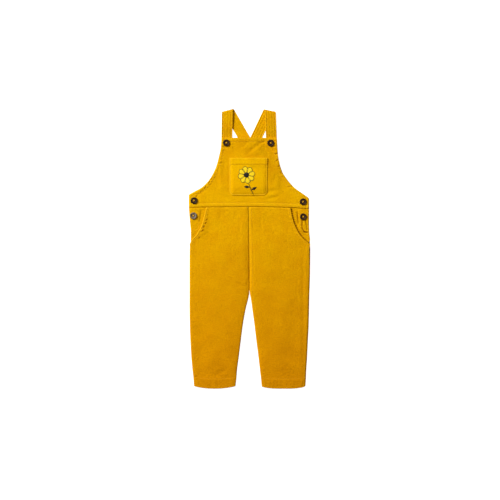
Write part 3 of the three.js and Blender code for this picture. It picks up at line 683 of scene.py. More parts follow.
@dataclass
class LegShape:
    """The cut of one leg, measured outwards from the middle of the garment."""

    side: int
    outline: Sequence[LegRow]
    pocket: Sequence[EdgeRow]
    folds: Sequence[Fold]
    panel_folds: Sequence[Fold]
    hem_bow: float
    stand_width: float
    wrapped: bool
    hem_rise: float = 5.4
    hem_lift: float = 1.1
    hem_fade: float = 80.0
    stand_inset: float = 4.0
    stand_bottom: float = 346.0
    panel_tuck: float = 14.0
    outer: Curve = field(init=False)
    inner: Curve = field(init=False)
    pocket_edge: Curve = field(init=False)

    def __post_init__(self) -> None:
        """Makes the smooth edges of the tables."""
        heights = [row.h for row in self.outline]
        self.outer = curve_through(heights, [row.outer for row in self.outline])
        self.inner = curve_through(heights, [row.inner for row in self.outline])
        self.pocket_edge = curve_through([row.h for row in self.pocket], [row.edge for row in self.pocket])

    def across(self, x: Array, h: Array) -> Array:
        """Share of the way from the inner to the outer edge."""
        return np.clip((x - self.inner(h)) / (self.outer(h) - self.inner(h)), 0.0, 1.0)

    def bow(self, x: Array, h: Array) -> Array:
        """How far the hem's bow lifts a point of the leg."""
        lift = self.hem_lift + self.hem_rise * np.abs(2 * self.across(x, h) - 1) ** self.hem_bow
        return lift * (1 - smoothstep(h, 0, self.hem_fade))

    def level(self, x: Array, h: Array) -> Array:
        """The true height of a point in a row of the leg."""
        return h + self.bow(x, h) + shift_below(x * self.side, h)

    def stand_distance(self, x: Array, h: Array) -> Array:
        """Distance from the outline of the button stand.

        Args:
            x: Places across.
            h: Places along.

        Returns:
            The distance; below 0 is on the stand.
        """
        middle = self.outer(h) - self.stand_inset - self.stand_width / 2
        below = np.maximum(0.0, self.stand_bottom + self.stand_width / 2 - h)
        return np.hypot(np.minimum(0.0, x - middle), below) - self.stand_width / 2

    def panel_height(self, x: Array, h: Array) -> Array:
        """Height of the middle of the hip panel over the back of the leg and the button stand.

        Args:
            x: Places across.
            h: Places along.

        Returns:
            The height above the surface.
        """
        near, far = (0.8, 3.4) if self.wrapped else (2.5, 22.0)
        on_stand = 1 - smoothstep(self.stand_distance(x, h), near, far)
        over_rim = 0.5 * smoothstep(x, self.outer(h) - 8, self.outer(h) - 3.4)
        base = 2.65 + over_rim
        return base + (SECOND_LAYER + CLOTH + GAP - base) * on_stand

    def panel_edge(self, h: Array) -> Array:
        """The hidden inner edge of the hip panel."""
        return self.pocket_edge(np.maximum(h, 326.0)) - self.panel_tuck


LEFT_LEG = LegShape(-1, LEFT_OUTLINE, LEFT_POCKET_EDGE, LEFT_LEG_FOLDS, LEFT_PANEL_FOLDS, hem_bow=2.2,
                    stand_width=17, wrapped=False)
RIGHT_LEG = LegShape(1, RIGHT_OUTLINE, RIGHT_POCKET_EDGE, RIGHT_LEG_FOLDS, RIGHT_PANEL_FOLDS, hem_bow=3.4,
                     stand_width=17, wrapped=True, hem_rise=4.6)


@dataclass(frozen=True)
class Cut:
    """The flat piece a maker cuts: its width and length and its area, in metres."""

    width: float
    length: float
    area: float


def closed_side(h: Array) -> Array:
    """1 where the side seam is closed, 0 above it at the hip pocket."""
    return 1 - smoothstep(h, *SIDE_OPENING)


# The sewn pieces


class ClothPart:
    """A sewn piece: what it is called, how it was cut and where its stitches run."""

    name: str
    cut: Cut

    def build(self) -> Object:
        """Makes the piece."""
        raise NotImplementedError

    def stitch_paths(self) -> list[Array]:
        """The stitch lines, as x and h; none unless the piece has its own."""
        return []

    def seams(self, cloth: Object) -> list[Array]:
        """The stitch lines on the finished cloth, as x, h and z."""
        return [drape(path, cloth, SEWN_LIFT) for path in self.stitch_paths()]


@dataclass
class FrontLeg(ClothPart):
    """The front of one leg, with its turned hem and the curved edge of the hip pocket."""

    leg: LegShape
    name: str
    pitch: float = 1.8
    fullness: float = 0.5
    crown: float = 3.0
    level: float = 3.4
    hem_stitch: float = LEG_HEM
    pocket_stitch: float = 4.0
    centre_stitch: float = 6.6
    wrap_inset: float = 1.95
    cut: Cut = Cut(0.155, 0.44, 0.052)

    def height(self, lay: Lay) -> Array:
        """Height of the middle of the cloth.

        Args:
            lay: The panel's points.

        Returns:
            The height above the surface, before the edges roll down.
        """
        leg, x, h = self.leg, lay.x, lay.h
        beside = 1 - smoothstep(lay.inset, 5, 26)
        in_hem = 1 - smoothstep(lay.row, LEG_HEM, LEG_HEM + 6)
        full = self.level + self.fullness * np.maximum(beside, 0.8 * in_hem)
        uneven = undulation(x, h, 11 + leg.side, 46, 0.22) + undulation(x, h, 21 + leg.side, 14, 0.075)
        valley = 0.6 * (1 - smoothstep(x, 2, 12)) * smoothstep(lay.row, CROTCH, 235)
        valley = valley * (1 - 0.8 * smoothstep(lay.row, 280, 330))
        seam = 0.35 * bump(x - leg.inner(h), 2.4) * smoothstep(lay.row, CROTCH - 30, CROTCH)
        skewed = leg.across(x, h) ** 0.65
        domed = self.crown * 4 * skewed * (1 - skewed) * smoothstep(lay.row, -30, 60)
        domed = domed * (1 - 0.85 * smoothstep(lay.row, 300, 385))
        free = full + domed + uneven * smoothstep(lay.inset, 0, 14) - valley - seam - sunk_by(leg.folds, x, h)
        return self.over_panel(lay, free)

    def over_panel(self, lay: Lay, free: Array) -> Array:
        """Raises the cloth beside the hip pocket onto the hip panel below it.

        Args:
            lay: The panel's points.
            free: Height of the cloth where nothing lies below it.

        Returns:
            The height above the surface.
        """
        leg, x, h = self.leg, lay.x, lay.h
        rest = leg.panel_height(x + 3, h + 2) + CLOTH / 2 + GAP + self.half(lay)
        lifted = smoothstep(x, leg.panel_edge(h) - 26, leg.panel_edge(h) - 11)
        cover = lifted * smoothstep(lay.row, 288, 302)
        return free + (np.maximum(rest, free) - free) * cover

    def on_pocket_edge(self, lay: Lay) -> Array:
        """1 along the turned edge of the hip pocket, 0 elsewhere."""
        return (1 - smoothstep(lay.high, 5, 6.2)) * smoothstep(lay.row, SIDE_OPENING[1], SIDE_OPENING[1] + 8)

    def half(self, lay: Lay) -> Array:
        """Half the thickness of the cloth, more where it is turned."""
        hem = (1 - smoothstep(lay.row, LEG_HEM, LEG_HEM + TURNED_FADE)) * smoothstep(lay.inset, *HEM_SIDES)
        return turned_half(np.maximum(hem, self.on_pocket_edge(lay) * (0.9 if self.leg.side > 0 else 0.3)))

    def stitching(self, lay: Lay) -> Array:
        """How deep the stitch lines and their puckers sink.

        Args:
            lay: The panel's points.

        Returns:
            The depth at each point.
        """
        hem = bump(lay.row - self.hem_stitch, 1.6) * smoothstep(lay.inset, 1, 5)
        hem_ripple = puckers(lay.x, 9, 31 + self.leg.side) * bump(lay.row - 0.6 * self.hem_stitch, 13)
        edge = self.on_pocket_edge(lay)
        pocket = bump(lay.high - self.pocket_stitch, 1.3) * smoothstep(lay.row, 320, 328)
        ripple = puckers(lay.high_run, 7.5, 41 + self.leg.side) * bump(lay.high - self.pocket_stitch, 5)
        rippled = ripple * smoothstep(lay.row, 322, 330)
        above_crotch = smoothstep(lay.row, CROTCH, CROTCH + SEAM_FADE)
        centre = 0.3 * bump(lay.low - 5.2, 2.2) * above_crotch * (self.leg.side > 0)
        low = 1 - smoothstep(lay.row, 362, 392)
        pocket_line = (0.28 + 0.25 * low) * pocket + (0.3 + 0.45 * low) * rippled
        return 0.45 * hem + 0.24 * hem_ripple + pocket_line - 0.12 * edge - centre

    def rolls(self, rows: Array) -> tuple[Roll, Roll]:
        """How the inner and the outer edge roll down to their seams.

        Args:
            rows: Heights of the rows.

        Returns:
            The inner edge's roll and the outer edge's.
        """
        ones = np.ones(rows.shape)
        drop = self.level + self.fullness - SEAM_LEVEL - GAP / 2
        turn = 90 + (30 - 90) * smoothstep(rows, CROTCH + 20, CROTCH + 110)
        inner = Roll(2.8 * ones, drop * ones, np.radians(turn))
        if self.leg.wrapped:
            return inner, Roll(7.1 * ones, 7.1 * ones, radians(20) * closed_side(rows))
        return inner, Roll(2.8 * ones, (drop + 0.1) * ones, pi / 2 * closed_side(rows))

    def edge(self, h: Array) -> Array:
        """The outer edge: the side seam, and above it the edge of the hip pocket."""
        seam = self.leg.outer(h) - (self.wrap_inset * closed_side(h) if self.leg.wrapped else 0.0)
        return np.where(h < SIDE_OPENING[1], seam, np.minimum(self.leg.outer(h), self.leg.pocket_edge(h)))

    def build(self) -> Object:
        """Makes the front of the leg.

        Returns:
            The piece's object.
        """
        rows = spaced_rows(0, WAIST, self.pitch, (self.hem_stitch,))
        lay = lay_out(rows, self.leg.inner, self.edge, *self.rolls(rows), self.pitch)
        lay.h = self.leg.level(lay.x, lay.row)
        ends = np.minimum(lay.row, WAIST - lay.row)
        waist_dip = 0.5 * bump(WAIST - lay.row, 2.5)
        z = self.height(lay) - self.stitching(lay) - lay.sink - waist_dip
        half = self.half(lay) * rim_share(np.minimum(ends, lay.inset))
        # Paler rims, partly rubbing and partly painted highlight, with a painted highlight along the left
        # pocket edge, which faces the light, less the painted shade of the folds.
        painted_pocket_highlight = 0.7 * smoothstep(lay.row, *SIDE_OPENING) * (self.leg.side < 0)
        wear_and_painted_light = 0.5 * bump(ends, 3) + (0.6 + painted_pocket_highlight) * bump(lay.high, 3) + 0.4 * bump(lay.low, 3)
        wear_and_painted_light = wear_and_painted_light - creases(self.leg.folds, lay.x, lay.h)
        wall = Wall(lay.x, lay.h, z, half, lay.x - grain_shift(lay.h), lay.h, wear_and_painted_light)
        return wall.build(self.name, self.leg.side)

    def stitch_paths(self) -> list[Array]:
        """The stitch lines of the hem, the hip pocket's edge and the centre seam.

        Returns:
            The lines, as x and h.
        """
        leg, side = self.leg, self.leg.side
        across = np.linspace(leg.inner(np.array(20.0)) + 2.5, leg.outer(np.array(20.0)) - 3, 90)
        hem = line_of(side * across, leg.level(across, np.full(90, self.hem_stitch)))
        h = np.linspace(321, WAIST - 1, 90)
        curved = line_of(leg.pocket_edge(h), leg.level(leg.pocket_edge(h), h))
        pocket = offset_path(curved, self.pocket_stitch) * np.array((side, 1))
        paths = [hem, pocket]
        if side > 0:
            seam = np.linspace(CROTCH + 4, WAIST - 2, 80)
            paths.append(line_of(leg.inner(seam) + self.centre_stitch, seam))
        return paths


@dataclass
class BackLeg(ClothPart):
    """The back of one leg, flat on the surface. On the right it comes round to the front at the side."""

    leg: LegShape
    name: str
    pitch: float = 3.0
    seam_reach: float = 1.6
    seam_aside: float = 2.6
    wrap_reach: float = 2.2
    wrap_depth: float = 1.35
    hem_fade: float = 1.4
    cut: Cut = Cut(0.165, 0.45, 0.056)

    def build(self) -> Object:
        """Makes the back of the leg.

        Returns:
            The piece's object.
        """
        leg = self.leg
        rows = spaced_rows(0, WAIST + BACK_SEAM_RISE, self.pitch, (LEG_HEM,))
        ones = np.ones(rows.shape)
        rise = SEAM_LEVEL - GAP / 2 - FIRST_LAYER
        inseam = 1 - smoothstep(rows, CROTCH, CROTCH + SEAM_FADE)
        low_roll = Roll(self.seam_reach * ones, -rise * ones, pi / 2 * inseam)
        high_roll = Roll(self.seam_reach * ones, -rise * ones, pi / 2 * ones)
        if leg.wrapped:
            angle = pi / 2 + radians(60) * closed_side(rows)
            high_roll = Roll(self.wrap_reach * ones, -self.wrap_depth * ones, angle)

        def outer(h: Array) -> Array:
            """The outer edge, drawn in a little beside the side opening."""
            return leg.outer(h) - 0.6 * (1 - closed_side(h))

        def inner(h: Array) -> Array:
            """The inner edge, its seam above the crotch a little to the left of the front's."""
            return leg.inner(h) - leg.side * self.seam_aside * smoothstep(h, CROTCH + 1, CROTCH + 9)

        lay = lay_out(rows, inner, outer, low_roll, high_roll, self.pitch)
        lay.h = leg.level(lay.x, lay.row) + (1 - smoothstep(lay.row, 0, 60))
        in_hem = 1 - smoothstep(lay.row, LEG_HEM, LEG_HEM + self.hem_fade)
        half = turned_half(in_hem * smoothstep(lay.inset, *HEM_SIDES))
        ends = np.minimum(lay.row, WAIST + BACK_SEAM_RISE - lay.row)
        rounded = half * rim_share(np.minimum(ends, lay.inset))
        along = lay.x - grain_shift(lay.h)
        # Paler rims: partly rubbing of the pile, partly a painted highlight.
        wall = Wall(lay.x, lay.h, half - lay.sink, rounded, along, lay.h, 0.4 * bump(lay.inset, 3))
        return wall.build(self.name, leg.side)


@dataclass
class HipPanel(ClothPart):
    """The panel inside the hip pocket's curved edge, with the stitched end of the button stand below it."""

    leg: LegShape
    name: str
    foot: float = 304.0
    foot_inset: float = 7.0
    bend_degrees: float = 64.0
    pitch: float = 1.6
    stitch_inset: float = 2.2
    shadow_dash_pitch: float = 4.4
    edge_shade: float = 1.1
    cut: Cut = Cut(0.066, 0.104, 0.0046)

    def build(self) -> Object:
        """Makes the hip panel.

        Returns:
            The piece's object.
        """
        leg = self.leg
        rows = spaced_rows(self.foot, WAIST, self.pitch)
        bend = radians(self.bend_degrees) * smoothstep(rows, 316, 356)
        high_roll = Roll(np.full(rows.shape, 2.5), np.full(rows.shape, 2.4), bend)

        def outer(h: Array) -> Array:
            """The outer edge, drawn in at the foot behind the side seam."""
            return leg.outer(h) - self.foot_inset * (1 - smoothstep(h, 316, 326))

        lay = lay_out(rows, leg.panel_edge, outer, flat_roll(rows), high_roll, self.pitch)
        lay.h = leg.level(lay.x, lay.row)
        from_stand = leg.stand_distance(lay.x, lay.h)
        strength = 1.0 if leg.wrapped else 0.3
        stitched = 0.75 * strength * bump(from_stand + self.stitch_inset, 1.4)
        ripple = 0.4 * strength * puckers(lay.h, 6, 51 + leg.side) * bump(from_stand + 1, 4)
        uneven = 0.06 * undulation(lay.x, lay.h, 61 + leg.side, 12, 1.0)
        sunk = stitched + ripple + lay.sink + 0.5 * bump(WAIST - lay.row, 2.5)
        z = leg.panel_height(lay.x, lay.h) + uneven - sunk - sunk_by(leg.panel_folds, lay.x, lay.h)
        ends = np.minimum(lay.row - self.foot, WAIST - lay.row)
        half = CLOTH / 2 * rim_share(np.minimum(ends, lay.inset))
        # A painted shadow in dashes on the right panel just beside the pocket edge that overlaps it, painted
        # shade in the folds, and paler rims that are partly a painted highlight.
        under_edge = 0.75 + 0.25 * np.sin(2 * pi * lay.h / self.shadow_dash_pitch)
        shaded = self.edge_shade * under_edge * bump(lay.x - leg.pocket_edge(lay.h) - 0.8, 3.8) * leg.wrapped
        wear_and_painted_light = 0.5 * bump(lay.high, 3) - creases(leg.panel_folds, lay.x, lay.h) - shaded
        return Wall(lay.x, lay.h, z, half, lay.x, lay.h, wear_and_painted_light).build(self.name, leg.side)

    def stitch_paths(self) -> list[Array]:
        """The U-shaped stitch line round the end of the button stand.

        Returns:
            The line, as x and h.
        """
        leg = self.leg
        radius = leg.stand_width / 2 - self.stitch_inset
        centre_h = leg.stand_bottom + leg.stand_width / 2
        middle = leg.outer(np.array(centre_h)) - leg.stand_inset - leg.stand_width / 2
        turn = np.linspace(pi, 1.75 * pi, 30)
        arc = line_of(middle + radius * np.cos(turn), centre_h + radius * np.sin(turn))
        up = np.linspace(WAIST - 1, centre_h, 25)
        line = line_of(leg.outer(up) - leg.stand_inset - leg.stand_width / 2 - radius, up)
        return [np.concatenate([line, arc[1:]]) * np.array((leg.side, 1))]


@dataclass
class ButtonStand(ClothPart):
    """The strip under a side opening that holds the buttons."""

    leg: LegShape
    name: str
    top: float = STAND_TOP
    pitch: float = 2.4
    columns: int = 15
    cut: Cut = Cut(0.024, 0.075, 0.0016)

    def build(self) -> Object:
        """Makes the button stand.

        Returns:
            The piece's object.
        """
        leg, bottom = self.leg, self.leg.stand_bottom
        radius = leg.stand_width / 2
        rows = spaced_rows(bottom, self.top, self.pitch)

        def middle(h: Array) -> Array:
            """The strip's middle line."""
            return leg.outer(h) - leg.stand_inset - radius

        def half_width(h: Array) -> Array:
            """Half the strip's width, less in its round lower end."""
            below = np.maximum(0.0, bottom + radius - h)
            return np.sqrt(np.maximum(radius**2 - below**2, 1.5**2))

        shares = np.linspace(-1, 1, self.columns)[None, :]
        h = np.broadcast_to(rows[:, None], (len(rows), self.columns)).copy()
        x = middle(h) + half_width(h) * shares
        inset = np.minimum(half_width(h) * (1 - np.abs(shares)), np.minimum(h - bottom, self.top - h))
        z = np.full(x.shape, SECOND_LAYER)
        # Paler rims: partly rubbing of the pile, partly a painted highlight.
        wall = Wall(x, h, z, CLOTH / 2 * rim_share(inset), x, h, 0.3 * bump(inset, 3))
        return wall.build(self.name, leg.side)


@dataclass
class StrapShape:
    """How one shoulder strap runs, measured outwards from the middle."""

    side: int
    fold_x: float
    fold_h: float
    back_angle: float
    front_angle: float
    front_shift: float
    back_relief: float
    crosses_on_top: bool


LEFT_STRAP = StrapShape(-1, 44.9, 607.3, 29.9, 1, front_shift=1.6, back_relief=0.35, crosses_on_top=True)
RIGHT_STRAP = StrapShape(1, 41.7, 606.7, 25.3, 2, front_shift=2.6, back_relief=1.0, crosses_on_top=False)


def bib_height(x: Array, h: Array) -> Array:
    """Height of the middle of the bib over the button stands, the strap ends and the crossed straps.

    Args:
        x: Places across.
        h: Places along.

    Returns:
        The height above the surface, with the bib's folds.
    """
    stands = np.where(x < 0, LEFT_LEG.stand_distance(-x, h), RIGHT_LEG.stand_distance(x, h))
    stand = 1 - smoothstep(np.maximum(stands, h - STAND_TOP), 5, 20)
    top_strap = (LEFT_STRAP.fold_h - h) * tan(radians(LEFT_STRAP.back_angle)) - LEFT_STRAP.fold_x
    crossing = (1 - smoothstep(np.abs(x - top_strap), 15, 39)) * smoothstep(h, 474, 492)
    ends = (1 - smoothstep(np.abs(x), 60, 72)) * smoothstep(h, 430, 443) * (1 - smoothstep(h, 504, 530))
    lifted = np.maximum(np.maximum(0.75 * stand, 2.6 * crossing), 1.35 * ends)
    beside = sum(1 - smoothstep(np.abs(x - middle), 10.5, 14) for middle in (-48.8, 47.0))
    under = 0.35 * beside * smoothstep(h, 516, 524)
    return 3.6 + lifted + under - sunk_by(BIB_FOLDS, x, h) + undulation(x, h, 71, 34, 0.1)


@dataclass
class Bib(ClothPart):
    """The bib front, with turned top and armhole edges and a stitched band above the waist seam."""

    name: str = "bib"
    pitch: float = 1.7
    armhole_hem: float = 7.0
    top_hem: float = 8.4
    waist_band: float = 9.5
    cut: Cut = Cut(0.285, 0.175, 0.0345)

    def __post_init__(self) -> None:
        """Makes the smooth edges of the outline."""
        heights = [row.h for row in BIB_OUTLINE]
        self.left = curve_through(heights, [row.left for row in BIB_OUTLINE])
        self.right = curve_through(heights, [row.right for row in BIB_OUTLINE])

    def roll(self, rows: Array) -> Roll:
        """How the side edges bend down, less along the armhole and over the straps.

        Args:
            rows: Heights of the rows.

        Returns:
            The roll at each row.
        """
        armhole, strap = smoothstep(rows, 416, 430), smoothstep(rows, 480, 515)
        degrees = 66 + (45 - 66) * armhole
        degrees += (18 - degrees) * strap
        return Roll(2.5 + 1.3 * armhole, 2.6 + 0.6 * armhole, np.radians(degrees))

    def relief(self, lay: Lay) -> Array:
        """How the stitched edges stand up and sink.

        Args:
            lay: The panel's points.

        Returns:
            The height to add.
        """
        curved = smoothstep(lay.row, 418, 428)
        edge = lay.inset
        run = np.where(lay.low < lay.high, lay.low_run, lay.high_run + 700)
        channel = 0.3 * bump(edge - self.armhole_hem, 1.5)
        ripple = 0.75 * puckers(run, 7.0, 81) * bump(edge - 0.8 * self.armhole_hem, 6.5) * curved
        swell = 0.2 * bump(edge - 0.45 * self.armhole_hem, 2.6)
        from_top = BIB_TOP - lay.row
        top = 0.4 * bump(from_top - self.top_hem, 1.5) - 0.18 * bump(from_top - 0.5 * self.top_hem, 3)
        top_ripple = 0.16 * puckers(lay.x, 9, 82) * bump(from_top - self.top_hem, 6)
        above = lay.row - WAIST
        band = 0.4 * bump(above - self.waist_band, 1.5) - 0.3 * bump(above - 0.55 * self.waist_band, 4)
        band_ripple = 0.12 * puckers(lay.x, 11, 83) * bump(above - self.waist_band, 5)
        seam = 0.7 * bump(above, 2.2)
        return swell - channel - ripple - top - top_ripple - band - band_ripple - seam

    def build(self) -> Object:
        """Makes the bib front.

        Returns:
            The piece's object.
        """
        rows = spaced_rows(WAIST, BIB_TOP, self.pitch, (WAIST + self.waist_band, BIB_TOP - self.top_hem))
        lay = lay_out(rows, self.left, self.right, self.roll(rows), self.roll(rows), self.pitch)
        lay.h = lay.row + shift_above(lay.x, lay.row)
        armhole = 1 - smoothstep(lay.inset, self.armhole_hem, self.armhole_hem + TURNED_FADE)
        top = 1 - smoothstep(BIB_TOP - lay.row, self.top_hem, self.top_hem + TURNED_FADE)
        half = turned_half(np.maximum(armhole * smoothstep(lay.row, *ARMHOLE), top))
        ends = np.minimum(lay.row - WAIST, BIB_TOP - lay.row)
        z = bib_height(lay.x, lay.h) + self.relief(lay) - lay.sink
        # Paler rims and top edge, partly rubbing and partly painted highlight, a painted highlight on the
        # band above the waist seam, painted shade in the folds, and a painted shadow along the waist seam.
        rubbed_and_lit = 0.7 * bump(lay.inset, 3) + 0.6 * bump(BIB_TOP - lay.row, 3)
        rubbed_and_lit = rubbed_and_lit + 0.3 * bump(lay.row - WAIST - 5, 5)
        wear_and_painted_light = rubbed_and_lit - creases(BIB_FOLDS, lay.x, lay.h) - 0.7 * bump(lay.row - WAIST, 2.2)
        rounded = half * rim_share(np.minimum(ends, lay.inset))
        return Wall(lay.x, lay.h, z, rounded, lay.x, lay.h, wear_and_painted_light).build(self.name)

    def stitch_paths(self) -> list[Array]:
        """The stitch lines of the armholes, the top and the waist band.

        Returns:
            The lines, as x and h.
        """
        h = np.linspace(WAIST + 1, BIB_TOP - self.top_hem, 120)
        left = offset_path(line_of(self.left(h), h), -self.armhole_hem - 0.8)
        right = offset_path(line_of(self.right(h), h), self.armhole_hem + 0.8)
        x = np.linspace(-58.5, 57.5, 70)
        top = line_of(x, np.full(70, BIB_TOP - self.top_hem))
        x = np.linspace(-129.5, 127.5, 140)
        level = np.full(140, WAIST + self.waist_band)
        band = line_of(x, level + shift_above(x, level))
        return [left, right, top, band]


@dataclass
class BibPocket(ClothPart):
    """The patch pocket on the bib, with a deep turned hem and rounded lower corners."""

    name: str = "bib_patch_pocket"
    left: float = -43.2
    right: float = 38.8
    bottom: float = 423.7
    top: float = 505.3
    corner: float = 10.0
    hem: float = 13.6
    stitch_inset: float = 1.8
    belly: float = 1.3
    stiffness: float = 2.5
    pitch: float = 1.4
    cut: Cut = Cut(0.094, 0.103, 0.0096)

    def inset(self, x: Array, h: Array) -> Array:
        """Distance from the pocket's side and lower edges.

        Args:
            x: Places across.
            h: Places along.

        Returns:
            The distance at each place.
        """
        across, above = np.minimum(x - self.left, self.right - x), h - self.bottom
        in_corner = (across < self.corner) & (above < self.corner)
        round_corner = self.corner - np.hypot(self.corner - across, self.corner - above)
        return np.where(in_corner, round_corner, np.minimum(across, above))

    def build(self) -> Object:
        """Makes the pocket.

        Returns:
            The piece's object.
        """
        rows = spaced_rows(self.bottom, self.top, self.pitch, (self.top - self.hem,))
        below = np.clip(self.corner - (rows - self.bottom), 0, self.corner)
        drawn_in = self.corner - np.sqrt(self.corner**2 - below**2)
        rim, width = np.array((0.0, 0.2, 0.5, 0.9, 1.3, 1.8, 2.3, 2.8)), self.right - self.left
        columns = np.concatenate([rim, np.arange(4.0, width - 3.5, self.pitch), width - rim[::-1]]) / width
        low, high = self.left + drawn_in, self.right - drawn_in
        x = low[:, None] + (high - low)[:, None] * columns[None, :]
        h = np.broadcast_to(rows[:, None], x.shape).copy()
        inset, from_top = self.inset(x, h), self.top - h
        half = turned_half(1 - smoothstep(from_top, self.hem, self.hem + TURNED_FADE))
        around = np.maximum(bib_height(x - self.stiffness, h), bib_height(x + self.stiffness, h))
        carried = around + CLOTH / 2 + GAP + half
        channel = 0.9 * bump(inset - self.stitch_inset, 1.5) + 0.3 * bump(from_top - self.hem, 1.4)
        ripple = 0.14 * puckers(h + 1.7 * x, 7, 91) * bump(inset - self.stitch_inset, 4)
        hem_ripple = 0.12 * puckers(x, 8, 92) * bump(from_top - self.hem, 5)
        belly = self.belly * smoothstep(from_top, 0, 62) * smoothstep(inset, 0, 10)
        slack = 0.35 * bump(from_top, 4) + 0.25 * smoothstep(inset, 0, 22) + belly
        z = carried + 0.15 - channel - ripple - hem_ripple + slack
        rounded = half * rim_share(np.minimum(np.maximum(inset, 0.0), from_top))
        # Paler rims, partly rubbing and partly painted highlight, painted brighter still on the left side and
        # the top edge, which face the light.
        wear_and_painted_light = (0.8 + 0.5 * (x < 0)) * bump(inset, 2.5) + 0.9 * bump(from_top, 2.5)
        return Wall(x, h, z, rounded, x, h, wear_and_painted_light).build(self.name)

    def stitch_paths(self) -> list[Array]:
        """The stitch lines round the pocket and along its hem.

        Returns:
            The lines, as x and h.
        """
        gap, radius = self.stitch_inset, self.corner - self.stitch_inset
        left, right, low = self.left + gap, self.right - gap, self.bottom + gap
        turn = np.linspace(0, pi / 2, 12)
        down = line_of(np.full(30, left), np.linspace(self.top - 1, low + radius, 30))
        first = line_of(left + radius * (1 - np.cos(turn)), low + radius * (1 - np.sin(turn)))
        second = line_of(right - radius * (1 - np.sin(turn)), low + radius * (1 - np.cos(turn)))
        up = line_of(np.full(30, right), np.linspace(low + radius, self.top - 1, 30))
        hem_x = np.linspace(left, right, 50)
        hem = line_of(hem_x, np.full(50, self.top - self.hem))
        return [np.concatenate([down, first[1:], second, up[1:]]), hem]


@dataclass
class BackYoke(ClothPart):
    """The back above the waist seam, flat on the surface behind the bib."""

    name: str = "yoke_back"
    shift: float = -2.0
    top: float = 474.0
    pitch: float = 3.0
    cut: Cut = Cut(0.285, 0.095, 0.0185)

    def build(self) -> Object:
        """Makes the yoke.

        Returns:
            The piece's object.
        """
        heights = (397, 419, 426, 432, 440, 448, 458, self.top)
        reach = curve_through(heights, (130.6, 129.4, 118, 103, 86, 73, 62, 54))
        rows = spaced_rows(WAIST + BACK_SEAM_RISE, self.top, self.pitch)
        flat, middle = flat_roll(rows), self.shift
        lay = lay_out(rows, lambda h: middle - reach(h), lambda h: middle + reach(h), flat, flat, self.pitch)
        lay.h = lay.row + shift_above(lay.x, lay.row)
        ends = np.minimum(lay.row - WAIST - BACK_SEAM_RISE, self.top - lay.row)
        half = CLOTH / 2 * rim_share(np.minimum(ends, lay.inset))
        level = np.full(lay.x.shape, FIRST_LAYER)
        return Wall(lay.x, lay.h, level, half, lay.x, lay.h, 0 * lay.x).build(self.name)


